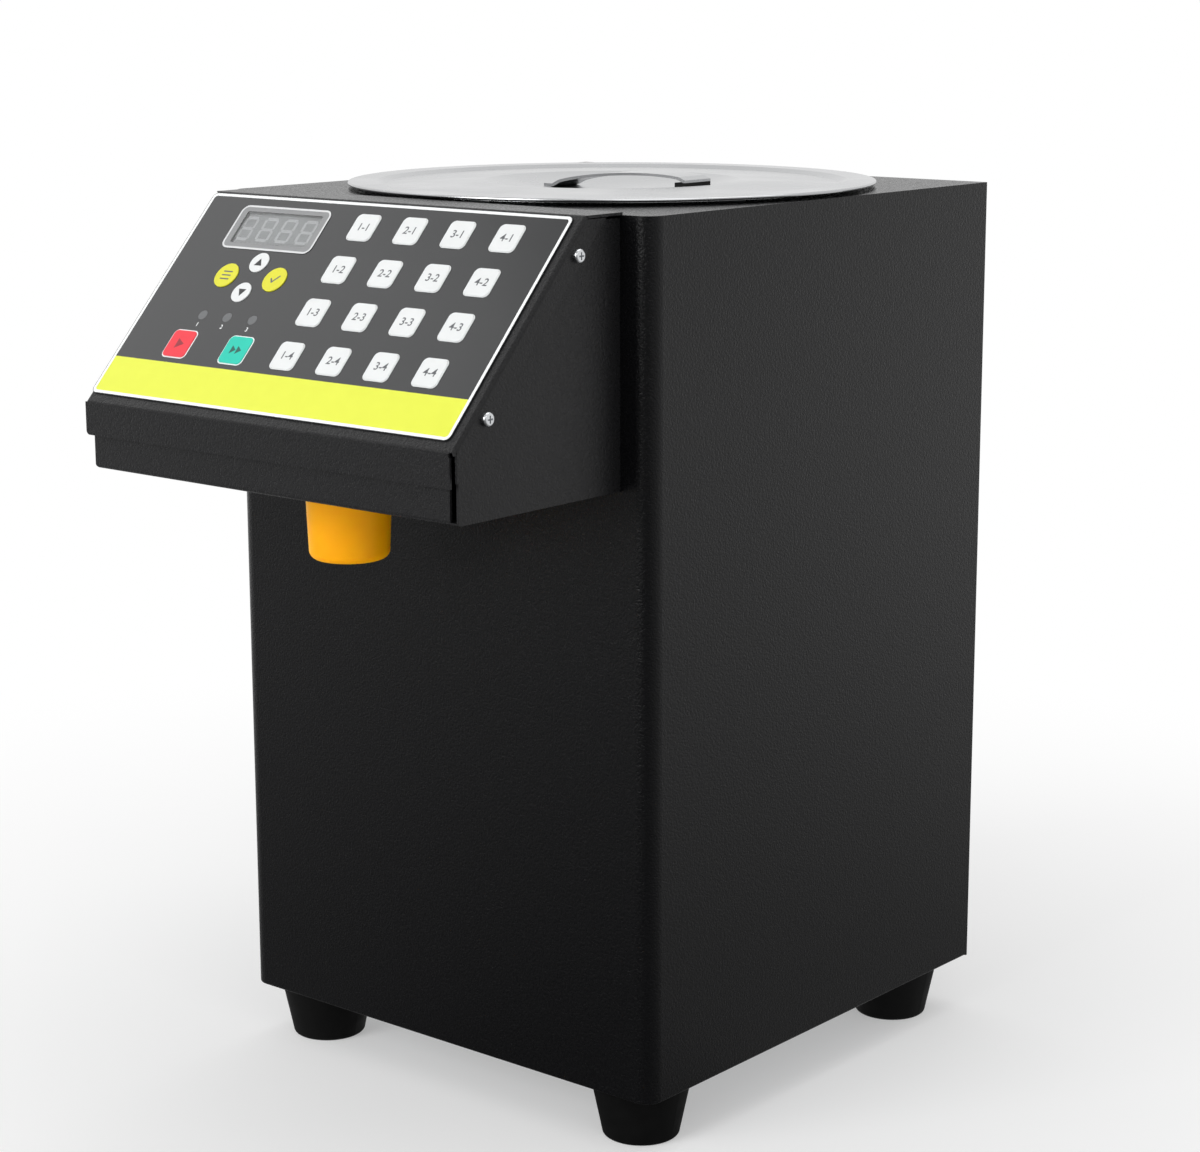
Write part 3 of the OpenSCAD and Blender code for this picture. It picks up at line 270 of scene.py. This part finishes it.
def powder_coated_steel(name, colour, shade):
    """Folded steel with a black semi-gloss powder coat: cured droplets leave a fine orange peel."""
    material, tree, shader = new_material(name, colour, 0.28, Specular_IOR_Level=0.2)
    peel = grain(tree, 1.2, detail=1.5)
    speck = grain(tree, 0.6, detail=1.0)
    speck_share = {"operation": "MULTIPLY_ADD", 1: 0.6}
    both = add(tree, "ShaderNodeMath", speck_share, {0: speck, 2: peel}).outputs[0]
    bump(tree, shader, both, 0.2, 0.9)
    gloss(tree, shader, peel, 0.24, 0.34, low=0.35, high=0.65)
    tint(tree, shader, speck, shade, colour)
    return material


def galvanised_steel():
    """Zinc-plated sheet: pale grey with a cloudy bloom."""
    material, tree, shader = new_material("galvanised_steel", "#a9adb1", 0.42, metallic=1.0)
    cloud = grain(tree, 14, detail=3.0)
    tint(tree, shader, cloud, "#989ca0", "#b9bdc0")
    gloss(tree, shader, cloud, 0.34, 0.5)
    bump(tree, shader, grain(tree, 2.5), 0.02, 0.4)
    return material


def satin_stainless(name, colour, shade):
    """Pressed stainless steel with a dull satin face: bright, with very soft reflections."""
    material, tree, shader = new_material(name, colour, 0.24, metallic=1.0)
    cloud = grain(tree, 40)
    gloss(tree, shader, cloud, 0.2, 0.3)
    tint(tree, shader, cloud, shade, colour)
    bump(tree, shader, grain(tree, 0.9, detail=1.0), 0.006, 0.3)
    return material


def turned_steel():
    """Turned and plated small steel parts: bright with a fine grain."""
    material, tree, shader = new_material("turned_steel", "#cfd1d3", 0.25, metallic=1.0)
    fine = grain(tree, 0.6)
    gloss(tree, shader, fine, 0.18, 0.32)
    bump(tree, shader, fine, 0.01, 0.3)
    return material


def moulded_rubber():
    """Moulded natural rubber: matt black with a dusty bloom."""
    material, tree, shader = new_material("moulded_rubber", "#080808", 0.6, Specular_IOR_Level=0.15)
    dust = grain(tree, 6, detail=4.0)
    tint(tree, shader, dust, "#060606", "#0c0c0c")
    gloss(tree, shader, dust, 0.52, 0.68)
    bump(tree, shader, grain(tree, 0.5), 0.03, 0.4)
    return material


def polyester_film():
    """Printed polyester film: near-black ink under a satin face that takes soft reflections."""
    material, tree, shader = new_material("polyester_film", "#1c1d1e", 0.18, Specular_IOR_Level=0.4)
    cloud = grain(tree, 30)
    tint(tree, shader, cloud, "#191a1b", "#1f2022")
    gloss(tree, shader, cloud, 0.15, 0.21)
    bump(tree, shader, grain(tree, 0.5), 0.006, 0.2)
    return material


def printed_ink(name, colour, shade):
    """Screen-printed ink with a satin face."""
    material, tree, shader = new_material(name, colour, 0.34, Specular_IOR_Level=0.3)
    tint(tree, shader, grain(tree, 9), shade, colour)
    bump(tree, shader, grain(tree, 0.5), 0.008, 0.25)
    return material


def smoked_acrylic():
    """Clear acrylic with a faint smoke tint and a polished face."""
    clear = {"Transmission_Weight": 1.0, "IOR": 1.49}
    material, tree, shader = new_material("smoked_acrylic", "#e4e6e7", 0.06, **clear)
    gloss(tree, shader, grain(tree, 20), 0.04, 0.1)
    return material


def digit_resin():
    """Cast resin face of the digit module: mid grey and matt."""
    material, tree, shader = new_material("digit_resin", "#98999a", 0.5)
    tint(tree, shader, grain(tree, 3), "#919293", "#9fa0a1")
    return material


def lamp_resin():
    """Smooth grey resin of an unlit lamp."""
    material, tree, shader = new_material("lamp_resin", "#4e5052", 0.22)
    tint(tree, shader, grain(tree, 2), "#46484a", "#57595b")
    return material


def circuit_board():
    """Glass-fibre board under a green solder mask, with raised tracks as a lighter net."""
    material, tree, shader = new_material("circuit_board", "#1f5a34", 0.4)
    net = {"feature": "DISTANCE_TO_EDGE", "Scale": 1 / (6 * MM)}
    cells = add(tree, "ShaderNodeTexVoronoi", net, {"Vector": place_of(tree)}).outputs["Distance"]
    track = add(tree, "ShaderNodeMath", {"operation": "LESS_THAN", 1: 0.06}, {0: cells}).outputs[0]
    tint(tree, shader, track, "#1d5531", "#3b7d4e")
    bump(tree, shader, track, 0.03, 0.5)
    return material


def woven_heater():
    """Glass-cloth heater band: a tan weave of two crossed sets of threads about 2.5 mm apart."""
    material, tree, shader = new_material("woven_heater", "#a9814f", 0.7)
    threads = []
    for way in ("Z", "X"):
        bands = {"bands_direction": way, "Scale": 1 / (8 * MM)}
        threads.append(add(tree, "ShaderNodeTexWave", bands, {"Vector": place_of(tree)}).outputs["Fac"])
    crossed = {0: threads[0], 1: threads[1]}
    weave = add(tree, "ShaderNodeMath", {"operation": "MULTIPLY"}, crossed).outputs[0]
    tint(tree, shader, weave, "#94703f", "#bd9463")
    bump(tree, shader, weave, 0.1, 0.6)
    return material


def mineral_felt():
    """Pressed mineral-fibre felt: pale and fluffy."""
    material, tree, shader = new_material("mineral_felt", "#d5cfbf", 0.95)
    fibre = grain(tree, 1.5, detail=5.0, stretch=(4, 1, 1))
    tint(tree, shader, fibre, "#c3bca8", "#e2ddd0")
    bump(tree, shader, fibre, 0.4, 0.7)
    return material


def milky_silicone():
    """Extruded silicone tube: milky and slightly waxy."""
    waxy = {"Subsurface_Weight": 0.25, "Subsurface_Scale": 0.004}
    material, tree, shader = new_material("milky_silicone", "#dedad0", 0.38, **waxy)
    tint(tree, shader, grain(tree, 10), "#d6d1c5", "#e5e2d9")
    return material


def machined_metal(name, colour, shade, step_mm):
    """Machined metal with the lines that the cutter leaves, drawn coarser than real so that they show."""
    material, tree, shader = new_material(name, colour, 0.3, metallic=1.0)
    lines = grain(tree, step_mm, stretch=(1, 12, 1))
    tint(tree, shader, lines, shade, colour)
    gloss(tree, shader, lines, 0.24, 0.4)
    bump(tree, shader, lines, 0.01, 0.4)
    return material


def enamelled_can():
    """Dip-enamelled motor can: dark grey with a slight orange peel."""
    material, tree, shader = new_material("enamelled_can", "#54585c", 0.4)
    tint(tree, shader, grain(tree, 8), "#4d5155", "#5b5f63")
    bump(tree, shader, grain(tree, 1.5), 0.05, 0.4)
    return material


def moulded_plastic(name, colour, shade, roughness):
    """Injection-moulded plastic with a fine spark-eroded texture."""
    material, tree, shader = new_material(name, colour, roughness)
    tint(tree, shader, grain(tree, 5), shade, colour)
    bump(tree, shader, grain(tree, 0.4), 0.02, 0.35)
    return material


def orange_polythene():
    """Moulded polythene: waxy and translucent, so light spreads inside it, red the furthest."""
    waxy = {"Subsurface_Weight": 0.45, "Subsurface_Scale": 0.006, "Specular_IOR_Level": 0.12}
    material, tree, shader = new_material("orange_polythene", "#f8a600", 0.45, **waxy)
    shader.inputs["Subsurface Radius"].default_value = (1.0, 0.45, 0.05)
    tint(tree, shader, grain(tree, 12), "#f3a000", "#fcaa02")
    bump(tree, shader, grain(tree, 1.2), 0.02, 0.3)
    return material


# The head's coat is the same black coat as the casing's, painted a shade paler. This is painted light: the
# head is lit while the casing's front under it lies in the head's shade.
COAT = powder_coated_steel("powder_coated_casing", "#0b0b0c", "#08080a")
HEAD_COAT_PAINTED_PALER = powder_coated_steel("powder_coated_head_painted_paler", "#1c1c1d", "#171718")
ZINC = galvanised_steel()
LID_STEEL = satin_stainless("satin_stainless_lid", "#babbbc", "#aeafb1")
TANK_STEEL = satin_stainless("satin_stainless_tank", "#dedfe0", "#d4d5d6")
BRIGHT = turned_steel()
RUBBER = moulded_rubber()
FILM = polyester_film()
WHITE_INK = printed_ink("white_ink", "#eceeee", "#e5e7e7")
DEEP_RED_INK = printed_ink("deep_red_ink", "#8f2430", "#84202b")
DEEP_TEAL_INK = printed_ink("deep_teal_ink", "#12594f", "#104f47")
YELLOW_INK = printed_ink("yellow_ink", "#d9e044", "#d3da3e")
FRAME_INK = printed_ink("pale_grey_ink", "#d2d3d4", "#c9cacb")
DARK_INK = printed_ink("dark_grey_ink", "#5f6164", "#56585b")
BLACK_INK = printed_ink("black_ink", "#2b2c2e", "#242527")
WHITE_KEY = printed_ink("white_key_ink", "#dbdddd", "#d5d7d7")
YELLOW_KEY = printed_ink("yellow_key_ink", "#d5d22e", "#cecb28")
RED_KEY = printed_ink("red_key_ink", "#e2303f", "#d92a38")
TEAL_KEY = printed_ink("teal_key_ink", "#0cc0aa", "#08b7a1")
SEGMENT = printed_ink("segment_resin", "#d8d9d9", "#cfd0d0")  # resin with the same satin face
ACRYLIC = smoked_acrylic()
DIGIT_FACE = digit_resin()
MARGIN_INK = printed_ink("mid_grey_ink", "#88898a", "#818283")
LAMP = lamp_resin()
BOARD = circuit_board()
HEATER = woven_heater()
FELT = mineral_felt()
SILICONE = milky_silicone()
ALUMINIUM = machined_metal("milled_aluminium", "#b4b7ba", "#a3a6a9", 1.2)
BRASS = machined_metal("hobbed_brass", "#cfa453", "#bd9243", 0.8)
MOTOR = enamelled_can()
BLACK_ABS = moulded_plastic("black_abs", "#1b1b1d", "#151517", 0.42)
RED_POLYCARBONATE = moulded_plastic("red_polycarbonate", "#b81f26", "#a8181f", 0.22)
ORANGE = orange_polythene()

NODE_FINISH = {
    "outer_case": COAT, "top_deck": COAT, "rear_panel": COAT,
    "head_tray": HEAD_COAT_PAINTED_PALER, "panel_cover": HEAD_COAT_PAINTED_PALER,
    "base_plate": ZINC, "motor_bracket": ZINC, "rubber_feet": RUBBER, "foot_bolts": BRIGHT,
    "panel_film": FILM, "case_screws": BRIGHT, "display_window": ACRYLIC, "digit_module": DIGIT_FACE,
    "status_lamps": LAMP, "control_board": BOARD, "power_board": BOARD, "tank": TANK_STEEL,
    "heater_band": HEATER, "insulation_jacket": FELT, "temperature_probe": BRIGHT,
    "outlet_fitting": BRIGHT, "suction_hose": SILICONE, "delivery_hose": SILICONE,
    "hose_clips": BRIGHT, "pump_body": ALUMINIUM, "pump_cover": ALUMINIUM, "pump_motor": MOTOR,
    "outlet_nozzle": BRIGHT, "outlet_nut": BRIGHT, "mains_inlet": BLACK_ABS, "switch_frame": BLACK_ABS,
    "lid_shell": LID_STEEL, "lid_strap": LID_STEEL, "strap_pad": RUBBER, "drive_gear": BRASS,
    "idler_gear": BRASS, "power_rocker": RED_POLYCARBONATE, "nozzle_cap": ORANGE,
    "key_left_round": YELLOW_KEY, "key_right_round": YELLOW_KEY, "key_up": WHITE_KEY,
    "key_down": WHITE_KEY, "key_red": RED_KEY, "key_teal": TEAL_KEY,
}


def dress_nodes():
    """Gives every node its finish. The recipe keys aren't in the table: they are all white."""
    for name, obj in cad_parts.items():
        finish = NODE_FINISH.get(name, WHITE_KEY)
        if not obj.material_slots:
            obj.data.materials.append(finish)
        for held in obj.material_slots:
            held.material = finish


def soften_edges():
    """Folded, pressed and moulded parts have no knife edges: a small round catches the light."""
    for name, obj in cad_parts.items():
        width = EDGE.get(name, KEY_EDGE if name.startswith("key_") else 0)
        if width:
            soft = obj.modifiers.new("edge_round", "BEVEL")
            soft.width = width * MM
            soft.segments = 3
            soft.limit_method = "ANGLE"
            soft.angle_limit = math.radians(EDGE_ANGLE)
            soft.harden_normals = True


# ---- making pieces ----


def place_piece(name, mesh, material, body):
    """Puts a mesh in the scene as a piece of one material that rides on a body."""
    piece = bpy.data.objects.new(name, mesh)
    bpy.context.scene.collection.objects.link(piece)
    mesh.materials.append(material)
    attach(piece, body)


def on_slope(x, v, out):
    """A point on the slope, in metres: x across, v down the slope and out of it, in millimetres."""
    return (SLOPE_ORIGIN + Vector((x, 0, 0)) + SLOPE_DOWN * v + SLOPE_OUT * out) * MM


def rounded_outline(w, h, r, steps=8):
    """Points round a rectangle with rounded corners, anticlockwise, about its centre."""
    x, y = w / 2 - r, h / 2 - r
    points = []
    for cx, cy, start in ((x, y, 0), (-x, y, 90), (-x, -y, 180), (x, -y, 270)):
        for i in range(steps + 1):
            a = math.radians(start + 90 * i / steps)
            points.append((cx + r * math.cos(a), cy + r * math.sin(a)))
    return points


def print_on(name, centre, outer, inner, out, thick, material, body="casing"):
    """A thin printed shape on the slope: an outline, or the ring between two outlines of as many points."""
    n = len(outer)
    cx, cv = centre
    vertices, faces = [], []
    for level in (out, out + thick):
        for ring in (outer, inner) if inner else (outer,):
            vertices += [on_slope(cx + x, cv - y, level) for x, y in ring]
    per = 2 * n if inner else n
    for i in range(n):
        j = (i + 1) % n
        faces.append((i, j, per + j, per + i))
        if inner:
            faces.append((n + j, n + i, per + n + i, per + n + j))
            faces.append((per + i, per + j, per + n + j, per + n + i))
            faces.append((j, i, n + i, n + j))
    if not inner:
        faces.append(tuple(range(per, 2 * per)))
        faces.append(tuple(reversed(range(per))))
    mesh = bpy.data.meshes.new(name)
    mesh.from_pydata(vertices, [], faces)
    mesh.validate()
    mesh.update()
    place_piece(name, mesh, material, body)


def label(name, figures, centre, size, out, material, body="casing"):
    """Plain figures on the slope, cut as a thin mesh."""
    curve = bpy.data.curves.new(name + "_outline", "FONT")
    curve.body = figures
    curve.size = size * MM
    curve.extrude = FIGURE_T * MM
    curve.offset = FIGURE_WEIGHT * size * MM
    curve.align_x = "CENTER"
    curve.align_y = "CENTER"
    holder = bpy.data.objects.new(name + "_outline", curve)
    bpy.context.scene.collection.objects.link(holder)
    bpy.context.view_layer.update()
    mesh = bpy.data.meshes.new_from_object(holder.evaluated_get(bpy.context.evaluated_depsgraph_get()))
    bpy.data.objects.remove(holder)
    turn = Matrix((Vector((1, 0, 0)), -SLOPE_DOWN, SLOPE_OUT)).transposed().to_4x4()
    mesh.transform(Matrix.Translation(on_slope(*centre, out)) @ turn)
    mesh.name = name
    place_piece(name, mesh, material, body)


# ---- panel print ----


def film_print():
    """White border and yellow band on the film."""
    w, h = FILM_W - 2 * FILM_EDGE, FILM_H - 2 * FILM_EDGE
    middle = (FILM_X, FILM_V + FILM_H / 2)
    outer = rounded_outline(w, h, BORDER_OUTER_R)
    inner = rounded_outline(w - 2 * BORDER, h - 2 * BORDER, BORDER_INNER_R)
    print_on("film_border", middle, outer, inner, FILM_T, BORDER_T, WHITE_INK)
    low = FILM_V + FILM_H - FILM_EDGE - BORDER
    band = rounded_outline(w - 2 * BORDER, low - BAND_TOP, BAND_R)
    print_on("film_band", (FILM_X, (BAND_TOP + low) / 2), band, None, FILM_T, INK_T, YELLOW_INK)


def recipe_key_print():
    """Plain numbers on the recipe keys, and the white field printed round each key."""
    outer = rounded_outline(FIELD_W, FIELD_H, FIELD_R)
    inner = rounded_outline(KEY_W + 2 * FIELD_GAP, KEY_H + 2 * FIELD_GAP, KEY_R)
    for row in range(KEY_ROWS):
        for col in range(KEY_COLUMNS):
            key = f"key_{col + 1}_{row + 1}"
            figures = f"{col + 1}-{row + 1}"
            place = (KEY_X + col * KEY_PITCH_X, KEY_V + row * KEY_PITCH_V)
            label(key + "_figures", figures, place, KEY_FIGURE, KEY_TOP, DARK_INK, key + "_pad")
            print_on(key + "_field", place, outer, inner, FILM_T, FIELD_T, WHITE_KEY)


def start_key_rims():
    """White rims round the red key and the teal key."""
    outer, inner = rounded_outline(*RIM_OUTER), rounded_outline(*RIM_INNER)
    for key, place in START_KEYS.items():
        print_on(key + "_rim", place, outer, inner, FILM_T, RIM_T, WHITE_INK)


def key_sign(key, sign, place, outline, ink):
    """A sign printed on a key's face, which moves with the key."""
    print_on(f"{key}_{sign}", place, outline, None, KEY_TOP, INK_T, ink, key + "_pad")


def arrow_key_print():
    """A triangle on each arrow key, pointing up or down."""
    half, foot, tip = 2.3, 1.7, 2.2
    for key, turn in (("key_up", 1), ("key_down", -1)):
        arrow = [(-half, -foot * turn), (half, -foot * turn), (0, tip * turn)]
        if turn < 0:
            arrow.reverse()
        key_sign(key, "arrow", ARROW_KEYS[key], arrow, BLACK_INK)


def left_round_key_print():
    """Three bars, one above the other."""
    width, height, r, pitch = 5.6, 0.7, 0.3, 2
    bar = rounded_outline(width, height, r, 3)
    x, v = ROUND_KEYS["key_left_round"]
    for i in (-1, 0, 1):
        key_sign("key_left_round", f"bar_{i + 2}", (x, v + pitch * i), bar, DARK_INK)


def right_round_key_print():
    """A tick."""
    tick = [(-2.6, 0.3), (-1.0, -2.0), (-0.7, -2.0), (2.7, 1.9), (2.1, 2.4), (-0.8, -0.8), (-2.0, 0.8)]
    key_sign("key_right_round", "tick", ROUND_KEYS["key_right_round"], tick, DARK_INK)


def red_key_print():
    """One arrow head that points right."""
    back, tip, half = -1.9, 2.6, 2.6
    head = [(back, -half), (tip, 0), (back, half)]
    key_sign("key_red", "arrow", START_KEYS["key_red"], head, DEEP_RED_INK)


def teal_key_print():
    """Two arrow heads in a row that point right."""
    length, half = 3.0, 2.2
    for i, back in enumerate((-2.9, 0.5)):
        head = [(back, -half), (back + length, 0), (back, half)]
        key_sign("key_teal", f"arrow_{i + 1}", START_KEYS["key_teal"], head, DEEP_TEAL_INK)


def lamp_print():
    """A figure below each status lamp."""
    for i, (x, v) in enumerate(STATUS_LAMPS):
        place = (x, v + LAMP_FIGURE_DROP)
        label(f"lamp_{i + 1}_figure", str(i + 1), place, LAMP_FIGURE, FILM_T, WHITE_INK)


def window_outline(across, down, r):
    """An outline inside the window's edge, or outside it where the two distances are negative."""
    return rounded_outline(WINDOW_W - 2 * across, WINDOW_H - 2 * down, r)


def window_print():
    """Pale frame and grey margin on the window, and the face of the digit module behind it."""
    middle, top = (WINDOW_X, WINDOW_V), FILM_T + WINDOW_PROUD
    outer, inner = window_outline(*WINDOW_FRAME_OUTER), window_outline(*WINDOW_FRAME_INNER)
    print_on("window_frame", middle, outer, inner, top, WINDOW_FRAME_T, FRAME_INK)
    outer, inner = window_outline(*WINDOW_MARGIN_OUTER), window_outline(*WINDOW_MARGIN_INNER)
    print_on("window_margin", middle, outer, inner, top, INK_T, MARGIN_INK)
    face = window_outline(*DIGIT_FACE_OUTLINE)
    print_on("digit_face", middle, face, None, DIGIT_FACE_OUT, DIGIT_FACE_T, DIGIT_FACE)


def digit_bars():
    """Seven bars for each of the unlit digits."""
    across, up = (DIGIT_W - BAR) / 2, (DIGIT_H - BAR) / 2
    flat = rounded_outline(DIGIT_W - FLAT_BAR_CUT * BAR, BAR, BAR_R, 2)
    tall = rounded_outline(BAR, up - TALL_BAR_CUT * BAR, BAR_R, 2)
    bars = [(0, up * row, flat) for row in (-1, 0, 1)]
    bars += [(across * side, up / 2 * row, tall) for side in (-1, 1) for row in (-1, 1)]
    for i in range(DIGIT_COUNT):
        centre = WINDOW_X + DIGIT_SHIFT + (i - (DIGIT_COUNT - 1) / 2) * DIGIT_PITCH
        for bar, (dx, dy, outline) in enumerate(bars):
            place = (centre + dx, WINDOW_V - dy)
            print_on(f"digit_{i + 1}_bar_{bar + 1}", place, outline, None, BAR_OUT, BAR_T, SEGMENT)


# ---- camera, light and ground ----


def camera_view():
    """The camera at the photograph's angle."""
    camera_data = bpy.data.cameras.new("camera")
    camera = bpy.data.objects.new("camera", camera_data)
    bpy.context.scene.collection.objects.link(camera)
    bpy.context.scene.camera = camera
    camera_data.sensor_width = CAMERA_SENSOR
    camera_data.lens = CAMERA_LENS
    camera_data.clip_end = VIEW_REACH
    yaw, pitch, roll = (math.radians(angle) for angle in (CAMERA_YAW, CAMERA_PITCH, CAMERA_ROLL))
    look = Vector((-math.sin(yaw) * math.cos(pitch), math.cos(yaw) * math.cos(pitch), -math.sin(pitch)))
    level = look.to_track_quat("-Z", "Y")
    camera.location = Vector((CAMERA_X, FRONT_Y - CAMERA_AHEAD, CAMERA_Z)) * MM
    camera.rotation_mode = "QUATERNION"
    camera.rotation_quaternion = level @ Matrix.Rotation(roll, 3, "Z").to_quaternion()


def seen_rays(tree):
    """1 for rays that show the background straight or through glass, 0 for the rest."""
    path = add(tree, "ShaderNodeLightPath")
    rays = {0: path.outputs["Is Camera Ray"], 1: path.outputs["Is Transmission Ray"]}
    return add(tree, "ShaderNodeMath", {"operation": "MAXIMUM"}, rays).outputs[0]


def with_reflection(tree, plain, mirrored):
    """The plain shader, and the mirrored one in its place where a shiny surface reflects it."""
    glossy = add(tree, "ShaderNodeLightPath").outputs["Is Glossy Ray"]
    return add(tree, "ShaderNodeMixShader", None, {0: glossy, 1: plain, 2: mirrored}).outputs[0]


def room_falloff(tree, direction):
    """How bright a reflection finds the room: full behind and beside the object, dim in front of it."""
    ahead = add(tree, "ShaderNodeVectorMath", {"operation": "DOT_PRODUCT", 1: ROOM_FRONT}, {0: direction})
    ends = {"From Min": 0.0, "From Max": FRONT_COSINE, "To Min": 1.0, "To Max": FRONT_LEVEL}
    return add(tree, "ShaderNodeMapRange", ends, {"Value": ahead.outputs["Value"]}).outputs[0]


def seamless_paper():
    """White backdrop paper: it takes the object's shadow and runs out into plain white further away."""
    paper, tree, shader = new_material("seamless_paper", "#f6f6f6", 0.85)
    tint(tree, shader, grain(tree, 300), "#f4f4f4", "#f9f9f9")
    reach = add(tree, "ShaderNodeVectorMath", {"operation": "LENGTH"}, {0: place_of(tree)}).outputs["Value"]
    fade = {
        "interpolation_type": "SMOOTHSTEP",
        "From Min": WHITE_NEAR,
        "From Max": WHITE_FAR,
        "To Min": WHITE_SHARE,
    }
    far = add(tree, "ShaderNodeMapRange", fade, {"Value": reach}).outputs[0]
    share = add(tree, "ShaderNodeMath", {"operation": "MULTIPLY"}, {0: far, 1: seen_rays(tree)}).outputs[0]
    white = add(tree, "ShaderNodeEmission", {"Color": WHITE, "Strength": 1.0}).outputs[0]
    plain = add(tree, "ShaderNodeMixShader", None, {0: share, 1: shader.outputs[0], 2: white}).outputs[0]
    flat = add(tree, "ShaderNodeVectorMath", {"operation": "NORMALIZE"}, {0: place_of(tree)}).outputs[0]
    falloff = room_falloff(tree, flat)
    # Painted shade: in reflections the paper near the object is dimmed, rising to the room's full level far
    # away.
    ends = {"From Min": MIRROR_NEAR, "From Max": MIRROR_FAR, "To Min": MIRROR_SHADE_SHARE, "To Max": 1.0}
    further = add(tree, "ShaderNodeMapRange", ends, {"Value": reach}).outputs[0]
    level = add(tree, "ShaderNodeMath", {"operation": "MULTIPLY"}, {0: falloff, 1: further}).outputs[0]
    mirrored = add(tree, "ShaderNodeEmission", {"Color": WHITE}, {"Strength": level}).outputs[0]
    surface = with_reflection(tree, plain, mirrored)
    tree.links.new(surface, tree.nodes["Material Output"].inputs["Surface"])
    return paper


def room_light():
    """A soft white room: plain white where it is seen, and dimmer in front of the object in reflections."""
    world = bpy.data.worlds.new("studio")
    bpy.context.scene.world = world
    world.use_nodes = True
    tree = world.node_tree
    tree.nodes.clear()
    soft = add(tree, "ShaderNodeBackground", {"Color": WHITE, "Strength": ROOM_STRENGTH}).outputs[0]
    white = add(tree, "ShaderNodeBackground", {"Color": WHITE, "Strength": 1.0}).outputs[0]
    plain = add(tree, "ShaderNodeMixShader", None, {0: seen_rays(tree), 1: soft, 2: white}).outputs[0]
    level = room_falloff(tree, add(tree, "ShaderNodeTexCoord").outputs["Generated"])
    mirrored = add(tree, "ShaderNodeBackground", {"Color": WHITE}, {"Strength": level}).outputs[0]
    surface = with_reflection(tree, plain, mirrored)
    add(tree, "ShaderNodeOutputWorld", None, {"Surface": surface})


def paper_floor():
    """A wide sheet of backdrop paper at the level of the table."""
    half = FLOOR_HALF
    corners = [(-half, -half, 0), (half, -half, 0), (half, half, 0), (-half, half, 0)]
    mesh = bpy.data.meshes.new("floor")
    mesh.from_pydata(corners, [], [(0, 1, 2, 3)])
    floor = bpy.data.objects.new("floor", mesh)
    bpy.context.scene.collection.objects.link(floor)
    mesh.materials.append(seamless_paper())


def studio_lamps():
    """Large soft lamps, all turned to the middle of the object."""
    for name, place, size, power in STUDIO_LAMPS:
        light = bpy.data.lights.new(name, "AREA")
        light.size = size
        light.energy = power
        lamp = bpy.data.objects.new(name, light)
        lamp.location = place
        lamp.rotation_euler = (LAMP_AIM - Vector(place)).to_track_quat("-Z", "Y").to_euler()
        bpy.context.scene.collection.objects.link(lamp)


# ---- the scene ----

bpy.context.scene.view_settings.view_transform = "Standard"
camera_view()
room_light()
paper_floor()
studio_lamps()
dress_nodes()
soften_edges()
film_print()
recipe_key_print()
start_key_rims()
arrow_key_print()
left_round_key_print()
right_round_key_print()
red_key_print()
teal_key_print()
lamp_print()
window_print()
digit_bars()
